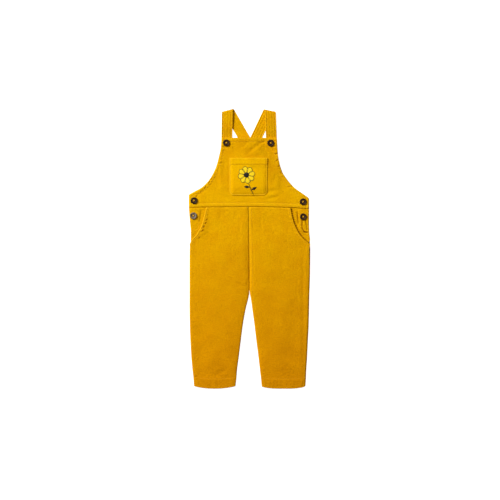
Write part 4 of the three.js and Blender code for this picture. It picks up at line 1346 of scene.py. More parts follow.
@dataclass
class Strap(ClothPart):
    """A shoulder strap: one strip that runs up from the yoke, turns over and comes down behind the bib."""

    shape: StrapShape
    name: str
    thickness: float = 2.0
    fold_radius: float = 2.4
    yoke_end: float = 449.0
    bib_end: float = 519.0
    pitch: float = 1.5
    stitch_inset: float = 3.2
    cut: Cut = Cut(0.0255, 0.345, 0.0086)

    @property
    def turn_run(self) -> float:
        """Length of the strip that goes round the turn."""
        return pi * self.fold_radius

    @property
    def back_run(self) -> float:
        """Length of the strip behind the turn."""
        return (self.shape.fold_h - self.yoke_end) / cos(radians(self.shape.back_angle))

    def axes(self) -> tuple[Array, Array]:
        """Finds how the strip lies in x and h.

        Returns:
            The direction along its back length, and the direction across the fold.
        """
        back, front = self.shape.back_angle, self.shape.front_angle
        slant, turn = radians(back), radians((back + front) / 2 - front)
        return np.array((sin(slant), cos(slant))), np.array((sin(turn), cos(turn)))

    def place(self, s: Array, w: Array) -> tuple[Array, Array, Array]:
        """Where a point of the strip lies.

        Args:
            s: Distance along the strip from the start of the turn.
            w: Distance across the strip from its middle.

        Returns:
            x, h and the height above the surface.
        """
        shape, radius = self.shape, self.fold_radius
        run, beyond = self.axes()
        aside, fold = np.array((run[1], -run[0])), np.array((beyond[1], -beyond[0]))
        q = s * (run @ beyond) + w * (aside @ beyond)
        angle = np.clip(q / radius, 0, pi)
        p = s * (run @ fold) + w * (aside @ fold) + shape.front_shift * smoothstep(angle, 0, pi)
        out = np.where(q < 0, q, radius * np.sin(angle) - np.maximum(0.0, q - self.turn_run))
        x = shape.fold_x + p * fold[0] + out * beyond[0]
        h = shape.fold_h + p * fold[1] + out * beyond[1]
        bend = self.thickness / 2 + radius * (1 - np.cos(angle))
        z = np.where(q < 0, self.back_height(h), np.where(q > self.turn_run, self.front_height(h), bend))
        return x, h, z

    def back_height(self, h: Array) -> Array:
        """Height of the back length, over the yoke and over the other strap.

        Args:
            h: Places along.

        Returns:
            The height of its middle above the surface.
        """
        floor = self.thickness / 2
        lift = (CLOTH + GAP) * (1 - smoothstep(h, 479, 491))
        if self.shape.crosses_on_top:
            over = (self.thickness + GAP) * smoothstep(h, 476, 490) * (1 - smoothstep(h, 551, 566))
            lift = np.maximum(lift, over)
        return floor + lift

    def front_height(self, h: Array) -> Array:
        """Height of the front length, sloping from the turn down behind the bib."""
        return curve_through((551, 560, 568, 580, 592, 602), (1.0, 2.4, 3.8, 4.8, 5.5, 5.8))(h)

    def relief(self, w: Array, s: Array) -> tuple[Array, Array]:
        """How the stitches and the press shape the strip.

        Args:
            w: Distance across the strip from its middle.
            s: Distance along it from the start of the turn.

        Returns:
            Half the thickness, and how far the middle is drawn up beside the stitches.
        """
        inset = STRAP_WIDTH / 2 - np.abs(w)
        strong = self.shape.back_relief + (1 - self.shape.back_relief) * smoothstep(s, -6, 2)
        pressed = 0.42 * bump(w - 3.6, 1.5) + 0.38 * bump(w + 2.4, 1.5)
        channel = (0.65 * bump(inset - self.stitch_inset, 1.4) + pressed) * strong
        swell = 0.16 * bump(inset - 1.3, 1.3)
        half = (self.thickness / 2 + swell - channel) * rim_share(inset, 0.8)
        ripple = 0.12 * puckers(s + 5 * self.shape.side, 7, 95 + self.shape.side)
        return half, ripple * bump(inset - self.stitch_inset, 4)

    def strip(self) -> tuple[Array, Array]:
        """Spaces out the strip's points.

        Returns:
            Their distance along the strip and across it.
        """
        back, turn, front = self.back_run, self.turn_run, self.shape.fold_h - self.bib_end
        s = np.concatenate([
            -back + np.array((0.0, 0.2, 0.5, 0.9)), np.arange(-back + 1.6, -0.5, self.pitch),
            np.linspace(0, turn, 22), np.arange(turn + 1, turn + front - 1.2, self.pitch),
            turn + front - np.array((0.9, 0.5, 0.2, 0.0)),
        ])
        half = STRAP_WIDTH / 2
        rim = np.array((0.0, 0.15, 0.4, 0.8, 1.3, 1.9, 2.3, 2.6, 2.9, 3.4, 4.1, 5.0, 6.0))
        w = np.concatenate([-half + rim, np.linspace(-half + 7, half - 7, 11), half - rim[::-1]])
        return s[:, None] + 0 * w[None, :], w[None, :] + 0 * s[:, None]

    def skewed(self, s: Array, w: Array) -> Array:
        """Turns the rows to the slanting fold close to it.

        Args:
            s: Distance along the strip from the start of the turn.
            w: Distance across it from its middle.

        Returns:
            The shifted distance along the strip.
        """
        run, beyond = self.axes()
        lean = (run[1] * beyond[0] - run[0] * beyond[1]) / (run @ beyond)
        away = np.where(s < 0, -s, np.maximum(0.0, s - self.turn_run))
        return s - w * lean * (1 - smoothstep(away, 12, 40))

    def build(self) -> Object:
        """Makes the strap.

        Returns:
            The piece's object.
        """
        s, w = self.strip()
        along = self.skewed(s, w)
        x, h, z = self.place(along, w)
        half, ripple = self.relief(w, along)
        ends = np.minimum(s - s.min(), s.max() - s)
        flat = (s < -2) | (s > self.turn_run + 2)
        z = z + np.where(flat, ripple, 0.0)
        # Paler rims: partly rubbing of the pile, partly a painted highlight.
        wear_and_painted_light = 0.8 * bump(STRAP_WIDTH / 2 - np.abs(w), 2.2)
        return Wall(x, h, z, half * rim_share(ends), w, along, wear_and_painted_light).build(self.name, self.shape.side)

    def seams(self, cloth: Object) -> list[Array]:
        """The two stitch lines of the strap, on its outer face.

        Args:
            cloth: The finished strap; not used, as the lines follow the strap's own measures.

        Returns:
            The lines, as x, h and z.
        """
        s = np.arange(-0.2 * self.back_run, self.turn_run + 72, 1.0)
        paths = []
        for w in (-1.0, 1.0):
            offset = np.full(s.shape, w * (STRAP_WIDTH / 2 - self.stitch_inset))
            x, h, z = self.place(s, offset)
            ahead = np.stack(self.place(s + 0.5, offset), axis=1) - line_of(x, h, z)
            aside = np.stack(self.place(s, offset + 0.5), axis=1) - line_of(x, h, z)
            points = line_of(x, h, z) + unit(np.cross(ahead, aside)) * (self.thickness / 2 - 0.12)
            paths.append(points * np.array((self.shape.side, 1, 1)))
        return paths


# Node trees


def plug(tree: NodeTree, value: object, socket: NodeSocket) -> None:
    """Feeds an input from a socket, or sets it to a plain value.

    Args:
        tree: The node's tree.
        value: The value or the socket that feeds it.
        socket: The input.
    """
    if isinstance(value, NodeSocket):
        tree.links.new(value, socket)
    else:
        socket.default_value = value


def feed(tree: NodeTree, node: Node, **inputs: object) -> Node:
    """Sets inputs of a node by name.

    Args:
        tree: The node's tree.
        node: The node.
        **inputs: Input names, with _ for a space, and their values or the sockets that feed them.

    Returns:
        The node.
    """
    for key, value in inputs.items():
        plug(tree, value, node.inputs[key.replace("_", " ")])
    return node


def in_tree(tree: NodeTree, kind: str, **inputs: object) -> Node:
    """Adds a node of a kind, by Blender's name for it, and sets its inputs."""
    return feed(tree, tree.nodes.new(kind), **inputs)


def reckon(tree: NodeTree, operation: str, *values: object) -> NodeSocket:
    """Adds a Math node.

    Args:
        tree: The tree it goes into.
        operation: What it does.
        *values: Its values or the sockets that feed them.

    Returns:
        Its output.
    """
    made = tree.nodes.new("ShaderNodeMath")
    made.operation = operation
    for socket, value in zip(made.inputs, values):
        plug(tree, value, socket)
    return made.outputs[0]


def blended(tree: NodeTree, share: object, first: object, second: object,
            way: str = "MIX") -> NodeSocket:
    """Adds a Mix node for two colours.

    Args:
        tree: The tree it goes into.
        share: How much of the second.
        first: The first colour or socket.
        second: The second colour or socket.
        way: How they are blended.

    Returns:
        The colour's socket.
    """
    made = tree.nodes.new("ShaderNodeMix")
    made.data_type, made.blend_type = "RGBA", way
    for index, value in ((0, share), (6, first), (7, second)):
        plug(tree, (*value, 1.0) if isinstance(value, tuple) else value, made.inputs[index])
    return made.outputs[2]


def new_group(name: str, inputs: dict[str, tuple[str, object]],
              outputs: dict[str, str]) -> NodeTree:
    """Starts a shader node group with named inputs and outputs.

    Args:
        name: The group's name.
        inputs: Socket type and default value of each input.
        outputs: Socket type of each output.

    Returns:
        The group, with its input and output nodes in place.
    """
    group = bpy.data.node_groups.new(name, "ShaderNodeTree")
    for key, (kind, value) in inputs.items():
        socket = group.interface.new_socket(name=key, in_out="INPUT", socket_type=kind)
        if value is not None:
            socket.default_value = value
    for key, kind in outputs.items():
        group.interface.new_socket(name=key, in_out="OUTPUT", socket_type=kind)
    group.nodes.new("NodeGroupInput")
    group.nodes.new("NodeGroupOutput")
    return group


def ribs_group() -> NodeTree:
    """The group of fine parallel ribs, for the wales of the cord and the lie of satin stitches.

    Returns:
        The group.
    """
    group = new_group(
        "Ribs",
        {"Vector": ("NodeSocketVector", None), "Pitch": ("NodeSocketFloat", 0.0013),
         "Wander": ("NodeSocketFloat", 0.0002)},
        {"Height": "NodeSocketFloat", "Groove": "NodeSocketFloat"},
    )
    given, result = group.nodes["Group Input"].outputs, group.nodes["Group Output"].inputs
    across = in_tree(group, "ShaderNodeSeparateXYZ", Vector=given["Vector"]).outputs["X"]
    noise = in_tree(group, "ShaderNodeTexNoise", Vector=given["Vector"], Scale=160.0, Detail=2.0)
    drift = reckon(group, "MULTIPLY", reckon(group, "SUBTRACT", noise.outputs[0], 0.5), given["Wander"])
    turn = reckon(group, "DIVIDE", reckon(group, "ADD", across, drift), given["Pitch"])
    wave = reckon(group, "COSINE", reckon(group, "MULTIPLY", turn, 2 * pi))
    height = reckon(group, "POWER", reckon(group, "MULTIPLY_ADD", wave, 0.5, 0.5), 0.6)
    group.links.new(height, result["Height"])
    group.links.new(reckon(group, "SUBTRACT", 1.0, height), result["Groove"])
    return group


def mottle_group() -> NodeTree:
    """The group of soft blotches, for the lie of a nap and the uneven colour of thread and horn.

    Returns:
        The group.
    """
    group = new_group(
        "Mottle",
        {"Vector": ("NodeSocketVector", None), "Scale": ("NodeSocketFloat", 30.0),
         "Contrast": ("NodeSocketFloat", 2.0)},
        {"Value": "NodeSocketFloat"},
    )
    given, result = group.nodes["Group Input"].outputs, group.nodes["Group Output"].inputs
    noise = in_tree(group, "ShaderNodeTexNoise", Vector=given["Vector"], Scale=given["Scale"], Detail=4.0,
                    Roughness=0.6)
    centred = reckon(group, "SUBTRACT", noise.outputs[0], 0.5)
    spread = reckon(group, "MULTIPLY_ADD", centred, given["Contrast"], 0.5)
    clamped = in_tree(group, "ShaderNodeClamp", Value=spread)
    group.links.new(clamped.outputs[0], result["Value"])
    return group


def placed(tree: NodeTree, group: NodeTree, **inputs: object) -> Node:
    """Puts a node group into a material with its own values.

    Args:
        tree: The material's tree.
        group: The group.
        **inputs: Its inputs' values, or the sockets that feed them.

    Returns:
        The group's node.
    """
    made = tree.nodes.new("ShaderNodeGroup")
    made.node_tree = group
    return feed(tree, made, **inputs)


# Finishes


@dataclass(frozen=True)
class Effects:
    """The node groups that several finishes share."""

    ribs: NodeTree
    mottle: NodeTree


def started(name: str) -> tuple[Material, NodeTree, Node]:
    """Starts a material.

    Args:
        name: Its name.

    Returns:
        The material, its tree and its Principled BSDF.
    """
    made = bpy.data.materials.new(name)
    made.use_nodes = True
    return made, made.node_tree, made.node_tree.nodes["Principled BSDF"]


@dataclass(frozen=True)
class Needlecord:
    """Fine corduroy: lengthwise wales, a short nap that lies unevenly, paler edges that are partly rubbing of
    the pile and partly a painted highlight, painted shade in the wale grooves, crinkles and creases, and a
    painted light falloff along its height.
    """

    name: str
    light: Colour
    deep: Colour
    # Paler colour of the rims: partly rubbing of the pile, partly a painted highlight.
    worn_and_lit: Colour
    sheen: Colour = (1.0, 0.6, 0.0)
    # Colours that the cloth shifts to between the two heights given next: a painted light falloff, darker and
    # more orange towards the hems on the legs, brighter on the lower bib.
    low_light: Colour = (0.9, 0.378, 0.001)
    low_deep: Colour = (0.81, 0.325, 0.001)
    painted_falloff_from: float = 0.06
    painted_falloff_to: float = -0.29
    wale_pitch: float = 0.0013
    groove_shade: float = 0.1
    wale_relief: float = 0.28
    nap_relief: float = 0.12
    nap_scale: float = 34.0
    fluff_scale: float = 430.0
    crinkle_scale: float = 300.0
    crinkle_relief: float = 0.6
    # Darkening by the fluff's random tone and by painted shade of the crinkles.
    speckle_and_crinkle_shade: float = 0.3
    # Colour of the painted shade in the wale grooves, the crinkles, the creases and under edges.
    crease: Colour = (0.19, 0.032, 0.001)

    def material(self, effects: Effects) -> Material:
        """Makes the material.

        Args:
            effects: The shared node groups.

        Returns:
            The material.
        """
        made, tree, shader = started(self.name)
        place = tree.nodes.new("ShaderNodeTexCoord").outputs["Object"]
        grain = tree.nodes.new("ShaderNodeUVMap")
        grain.uv_map = GRAIN_MAP
        ribs = placed(tree, effects.ribs, Vector=grain.outputs[0], Pitch=self.wale_pitch, Wander=0.0004)
        nap, fluff, crinkle = (
            placed(tree, effects.mottle, Vector=place, Scale=scale, Contrast=contrast).outputs[0]
            for scale, contrast in ((self.nap_scale, 2.2), (self.fluff_scale, 2.0), (self.crinkle_scale, 2.0))
        )
        # Painted light falloff: the colour shifts with the height in the object towards the low colours.
        height = in_tree(tree, "ShaderNodeSeparateXYZ", Vector=place).outputs["Y"]
        fall = in_tree(tree, "ShaderNodeMapRange", Value=height, From_Min=self.painted_falloff_from,
                       From_Max=self.painted_falloff_to)
        soft = blended(tree, nap, self.deep, self.light)
        painted_falloff = blended(tree, fall.outputs[0], soft, blended(tree, nap, self.low_deep, self.low_light))
        # Painted shade in the wale grooves, then darkening that is partly the fluff's random tone and partly
        # painted shade of the crinkles.
        shade = reckon(tree, "MULTIPLY", ribs.outputs["Groove"], self.groove_shade)
        grooved = blended(tree, shade, painted_falloff, self.crease)
        speckle_and_crinkle_shade = reckon(tree, "MULTIPLY", reckon(tree, "ADD", fluff, crinkle), 0.5 * self.speckle_and_crinkle_shade)
        speckled_and_shaded = blended(tree, speckle_and_crinkle_shade, grooved, self.crease)
        # Above 0 the point attribute pales the rims, partly rubbing and partly a painted highlight; below 0
        # it paints shade in creases, under edges and at seams.
        wear_and_painted_light = tree.nodes.new("ShaderNodeAttribute")
        wear_and_painted_light.attribute_name = WEAR_AND_PAINTED_LIGHT_NAME
        rubbed_and_lit = reckon(tree, "MULTIPLY", wear_and_painted_light.outputs["Fac"], reckon(tree, "MULTIPLY_ADD", fluff, 0.4, 0.2))
        creased = reckon(tree, "MULTIPLY", wear_and_painted_light.outputs["Fac"], -1.0)
        hollow = blended(tree, creased, speckled_and_shaded, self.crease)
        wales = reckon(tree, "MULTIPLY", ribs.outputs["Height"], self.wale_relief)
        napped = reckon(tree, "MULTIPLY_ADD", fluff, self.nap_relief, wales)
        crumpled = reckon(tree, "MULTIPLY_ADD", crinkle, self.crinkle_relief, napped)
        raised = in_tree(tree, "ShaderNodeBump", Strength=1.0, Distance=MM, Height=crumpled)
        tint = (*self.sheen, 1.0)
        feed(tree, shader, Base_Color=blended(tree, rubbed_and_lit, hollow, self.worn_and_lit), Normal=raised.outputs[0],
             Roughness=reckon(tree, "MULTIPLY_ADD", fluff, 0.16, 0.8), Specular_IOR_Level=0.04,
             Specular_Tint=tint, Sheen_Weight=0.12, Sheen_Roughness=0.5, Sheen_Tint=tint)
        return made


@dataclass(frozen=True)
class SewingThread:
    """Twisted thread with a slight gloss."""

    name: str
    light: Colour
    deep: Colour
    roughness: float = 0.55

    def material(self, effects: Effects) -> Material:
        """Makes the material.

        Args:
            effects: The shared node groups.

        Returns:
            The material.
        """
        made, tree, shader = started(self.name)
        place = tree.nodes.new("ShaderNodeTexCoord").outputs["Object"]
        blotch = placed(tree, effects.mottle, Vector=place, Scale=900.0, Contrast=2.6).outputs[0]
        raised = in_tree(tree, "ShaderNodeBump", Strength=0.4, Distance=0.0001, Height=blotch)
        rough = reckon(tree, "MULTIPLY_ADD", blotch, 0.2, self.roughness - 0.1)
        feed(tree, shader, Base_Color=blended(tree, blotch, self.deep, self.light), Roughness=rough,
             Normal=raised.outputs[0], Specular_IOR_Level=0.25)
        return made


@dataclass(frozen=True)
class Satin:
    """Embroidery in close satin stitches that follow the shape they fill."""

    name: str
    light: Colour
    deep: Colour
    thread_pitch: float = 0.0006

    def material(self, effects: Effects) -> Material:
        """Makes the material.

        Args:
            effects: The shared node groups.

        Returns:
            The material.
        """
        made, tree, shader = started(self.name)
        grain = tree.nodes.new("ShaderNodeUVMap")
        grain.uv_map = GRAIN_MAP
        ribs = placed(tree, effects.ribs, Vector=grain.outputs[0], Pitch=self.thread_pitch, Wander=0.0003)
        height, groove = ribs.outputs["Height"], ribs.outputs["Groove"]
        rough = reckon(tree, "MULTIPLY_ADD", groove, 0.25, 0.4)
        raised = in_tree(tree, "ShaderNodeBump", Strength=0.6, Distance=0.00012, Height=height)
        # The grooves between the threads take the deeper colour: painted shade.
        feed(tree, shader, Base_Color=blended(tree, groove, self.light, self.deep), Roughness=rough,
             Normal=raised.outputs[0], Specular_IOR_Level=0.15)
        return made


@dataclass(frozen=True)
class Horn:
    """Polished horn, streaked from dark brown to a paler brown."""

    name: str
    pale: Colour
    dark: Colour
    roughness: float = 0.28

    def material(self, effects: Effects) -> Material:
        """Makes the material.

        Args:
            effects: The shared node groups.

        Returns:
            The material.
        """
        made, tree, shader = started(self.name)
        place = tree.nodes.new("ShaderNodeTexCoord").outputs["Object"]
        stretched = in_tree(tree, "ShaderNodeMapping", Vector=place, Scale=(1.0, 0.35, 1.0)).outputs[0]
        streak = placed(tree, effects.mottle, Vector=stretched, Scale=320.0, Contrast=3.0).outputs[0]
        rough = reckon(tree, "MULTIPLY_ADD", streak, 0.15, self.roughness - 0.05)
        feed(tree, shader, Base_Color=blended(tree, streak, self.dark, self.pale), Roughness=rough,
             Specular_IOR_Level=0.12, Coat_Weight=0.03, Coat_Roughness=0.2)
        return made


class CordShade(Enum):
    """Copies of the same cord, each painted lighter or darker for how the light falls on its part: the bib
    pocket brighter, the back darker, and the bib and the legs with their own painted light falloff.
    """

    UPPER = "Needlecord of the bib and straps"
    POCKET = "Needlecord of the bib pocket"
    LEGS = "Needlecord of the legs"
    BEHIND = "Needlecord of the back"


# The copies' colours, each with a painted light falloff along the height; the pocket's copy is painted
# brighter and the back's darker.
CORD_FINISHES = {
    CordShade.UPPER: Needlecord(CordShade.UPPER.value, light=(0.87, 0.475, 0.001), deep=(0.815, 0.385, 0.001),
                                worn_and_lit=(1.0, 0.62, 0.015), low_light=(0.96, 0.54, 0.001),
                                low_deep=(0.91, 0.46, 0.001), painted_falloff_from=0.162, painted_falloff_to=0.125,
                                crinkle_relief=0.3, speckle_and_crinkle_shade=0.24),
    CordShade.POCKET: Needlecord(CordShade.POCKET.value, light=(1.0, 0.585, 0.001), deep=(0.96, 0.49, 0.001),
                                 worn_and_lit=(1.0, 0.68, 0.02), crinkle_relief=0.3, speckle_and_crinkle_shade=0.24),
    CordShade.LEGS: Needlecord(CordShade.LEGS.value, light=(0.95, 0.52, 0.001), deep=(0.9, 0.437, 0.001),
                               worn_and_lit=(1.0, 0.6, 0.015)),
    CordShade.BEHIND: Needlecord(CordShade.BEHIND.value, light=(0.78, 0.36, 0.003), deep=(0.66, 0.29, 0.002),
                                 worn_and_lit=(0.86, 0.44, 0.02)),
}


# Stitches, buttons and embroidery


@dataclass
class Stitcher:
    """Sews lines of stitches: one short thread after another along each path."""

    material: Material
    length: float = 2.5
    pitch: float = 3.2
    width: float = 0.6
    height: float = 0.5
    seed: int = 7
    tree: NodeTree = field(init=False)

    def __post_init__(self) -> None:
        """Builds the node tree."""
        self.tree = self.new_tree()

    def new_tree(self) -> NodeTree:
        """The tree that sets one rounded stitch after another along the lines of a mesh.

        Returns:
            The tree, with named inputs.
        """
        tree = bpy.data.node_groups.new("Stitches along lines", "GeometryNodeTree")
        inputs = {"Lines": "NodeSocketGeometry", "Pitch": "NodeSocketFloat", "Size": "NodeSocketVector",
                  "Seed": "NodeSocketInt", "Thread": "NodeSocketMaterial"}
        for key, kind in inputs.items():
            tree.interface.new_socket(name=key, in_out="INPUT", socket_type=kind)
        tree.interface.new_socket(name="Stitches", in_out="OUTPUT", socket_type="NodeSocketGeometry")
        given = tree.nodes.new("NodeGroupInput").outputs
        lines = in_tree(tree, "GeometryNodeMeshToCurve", Mesh=given["Lines"])
        spaced = tree.nodes.new("GeometryNodeResampleCurve")
        spaced.mode = "LENGTH"
        tree.links.new(lines.outputs[0], spaced.inputs["Curve"])
        tree.links.new(given["Pitch"], spaced.inputs["Length"])
        grain = in_tree(tree, "GeometryNodeMeshUVSphere", Segments=6, Rings=4, Radius=0.5)
        stitch = in_tree(tree, "GeometryNodeTransform", Geometry=grain.outputs["Mesh"], Scale=given["Size"])
        along = tree.nodes.new("GeometryNodeInputTangent")
        turned = tree.nodes.new("FunctionNodeAlignRotationToVector")
        turned.axis = "X"
        tree.links.new(along.outputs[0], turned.inputs["Vector"])
        uneven = tree.nodes.new("FunctionNodeRandomValue")
        uneven.inputs[2].default_value, uneven.inputs[3].default_value = 0.85, 1.12
        tree.links.new(given["Seed"], uneven.inputs["Seed"])
        copies = in_tree(tree, "GeometryNodeInstanceOnPoints", Points=spaced.outputs[0],
                         Instance=stitch.outputs[0], Rotation=turned.outputs[0], Scale=uneven.outputs[1])
        smooth = in_tree(tree, "GeometryNodeSetShadeSmooth", Geometry=copies.outputs[0])
        real = in_tree(tree, "GeometryNodeRealizeInstances", Geometry=smooth.outputs[0])
        threaded = in_tree(tree, "GeometryNodeSetMaterial", Geometry=real.outputs[0],
                           Material=given["Thread"])
        result = tree.nodes.new("NodeGroupOutput")
        tree.links.new(threaded.outputs[0], result.inputs[0])
        return tree

    def sew(self, name: str, paths: Sequence[Array]) -> Object:
        """Sews stitches along lines of points.

        Args:
            name: The name of the stitches' object.
            paths: Lines of points, as x, h and z.

        Returns:
            The stitches, as one mesh.
        """
        lines = bpy.data.meshes.new(name + "_lines")
        points, edges, count = [], [], 0
        for path in paths:
            points += [(x * MM, (h - LENGTH / 2) * MM, z * MM) for x, h, z in path]
            edges += [(count + i, count + i + 1) for i in range(len(path) - 1)]
            count += len(path)
        lines.from_pydata(points, edges, [])
        carrier = linked(name + "_lines", lines)
        sewing = carrier.modifiers.new("Sewing", "NODES")
        sewing.node_group = self.tree
        sockets = self.tree.interface.items_tree
        names = {item.name: item.identifier for item in sockets if item.in_out == "INPUT"}
        sewing[names["Pitch"]] = self.pitch * MM
        sewing[names["Size"]] = (self.length * MM, self.width * MM, self.height * MM)
        sewing[names["Seed"]] = self.seed
        sewing[names["Thread"]] = self.material
        made = linked(name, evaluated_mesh(carrier))
        carrier.modifiers.remove(sewing)
        bpy.data.objects.remove(carrier)
        made.data.name = name
        return made


@dataclass
class Button:
    """A four-hole button with a rounded rim and a dished middle, sewn on with a cross of thread."""

    name: str
    x: float
    h: float
    tilt: float = 0.0
    diameter: float = 15.0
    thickness: float = 2.4
    hole_radius: float = 0.85
    hole_offset: float = 1.55
    hole_sides: int = 14
    strand_radius: float = 0.26
    strand_gap: float = 0.42
    cross_lift: float = 0.34
    sides: int = 56

    def profile(self) -> list[tuple[float, float]]:
        """Draws the button's section.

        Returns:
            Its points, from the middle of the underside round the rim to the middle of the dish.
        """
        radius, top = self.diameter / 2, self.thickness
        return [(0.0, 0.0), (radius - 2.2, 0.0), (radius - 0.9, 0.25), (radius - 0.2, 0.8), (radius, 1.4),
                (radius - 0.25, 1.95), (radius - 0.8, top - 0.08), (radius - 1.3, top),
                (radius - 1.9, top - 0.15), (radius - 2.4, top - 0.6), (radius - 2.9, top - 0.85),
                (radius - 4.0, top - 0.9), (0.0, top - 0.9)]

    def disc(self) -> Shape:
        """The button without its holes, standing on its underside.

        Returns:
            Its corners and faces.
        """
        profile = self.profile()
        turns = np.linspace(0, 2 * pi, self.sides, endpoint=False)
        corners = [np.array([[0.0, 0.0, profile[0][1]]])]
        for radius, height in profile[1:-1]:
            ring = [radius * np.cos(turns), radius * np.sin(turns), np.full(self.sides, height)]
            corners.append(np.stack(ring, axis=1))
        corners.append(np.array([[0.0, 0.0, profile[-1][1]]]))
        n, rings = self.sides, len(profile) - 2
        faces = [[0, 1 + (k + 1) % n, 1 + k] for k in range(n)]
        faces += ring_faces(rings, n, 1)
        last = 1 + (rings - 1) * n
        faces += [[last + k, last + (k + 1) % n, 1 + rings * n] for k in range(n)]
        return np.concatenate(corners), faces

    def drill(self) -> Shape:
        """Makes four round cutters for the holes.

        Returns:
            Their corners and faces.
        """
        cutters, n = [], self.hole_sides
        for side_x, side_h in ((1, 1), (1, -1), (-1, 1), (-1, -1)):
            line = np.array([[side_x, side_h, z] for z in (-1.0, self.thickness + 1)], float)
            line[:, :2] *= self.hole_offset
            turns = np.linspace(0, 2 * pi, n, endpoint=False)
            ring = line_of(np.cos(turns), np.sin(turns), 0 * turns) * self.hole_radius
            corners = (line[:, None, :] + ring[None]).reshape(-1, 3)
            cutters.append((corners, ring_faces(2, n) + [list(range(n))[::-1], list(range(n, 2 * n))]))
        return joined(cutters)

    def thread(self) -> Shape:
        """Makes the cross of thread through the holes, three strands each way.

        Returns:
            Its corners and faces.
        """
        strands, reach = [], self.hole_offset
        t = np.linspace(-1, 1, 15)
        dip = 1.6 * np.maximum(0, np.abs(t) - 0.82) / 0.18
        for turn, layer in ((1, 0.0), (-1, self.cross_lift)):
            for shift in (-self.strand_gap, 0.0, self.strand_gap):
                x, h = reach * t + shift * 0.7, turn * reach * t - turn * shift * 0.7
                rise = self.thickness - 0.62 + layer * (1 - t**4) - dip
                strands.append(tube(line_of(x, h, rise), self.strand_radius, 6))
        return joined(strands)

    def placed(self, shape: Shape, seat: float) -> Shape:
        """Tilts a shape about its lower side and sets it down at the button's place.

        Args:
            shape: Its corners and faces.
            seat: Height of the cloth below it.

        Returns:
            The moved corners, and the faces.
        """
        corners, faces = shape
        slope = tan(radians(self.tilt))
        lifted = corners[:, 2] + slope * corners[:, 0] + abs(slope) * self.diameter / 2
        moved = line_of(corners[:, 0] + self.x, corners[:, 1] + self.h, lifted + seat)
        return moved, faces

    def build(self, cloth: Object, horn: Material,
              thread: Material) -> list[Object]:
        """Makes the button and its thread on the cloth below it.

        Args:
            cloth: The piece it lies on.
            horn: The button's material.
            thread: The thread's material.

        Returns:
            The button and the thread.
        """
        reach = self.diameter / 2 - 1
        turns = np.linspace(0, 2 * pi, 17)
        around = line_of(self.x + reach * np.cos(turns), self.h + reach * np.sin(turns))
        seat = float(np.percentile(drape(around, cloth, 0.0)[:, 2], 80)) + 0.25
        body = mesh_object(self.name, *self.placed(self.disc(), seat))
        cutter = mesh_object(self.name + "_cutter", *self.placed(self.drill(), seat))
        cutting = body.modifiers.new("Holes", "BOOLEAN")
        cutting.object, cutting.solver = cutter, "EXACT"
        drilled = evaluated_mesh(body)
        body.modifiers.remove(cutting)
        body.data = drilled
        bpy.data.objects.remove(cutter)
        body.data.set_sharp_from_angle(angle=radians(50))
        sewn = mesh_object(self.name + "_thread", *self.placed(self.thread(), seat))
        body.data.materials.append(horn)
        sewn.data.materials.append(thread)
        return [body, sewn]


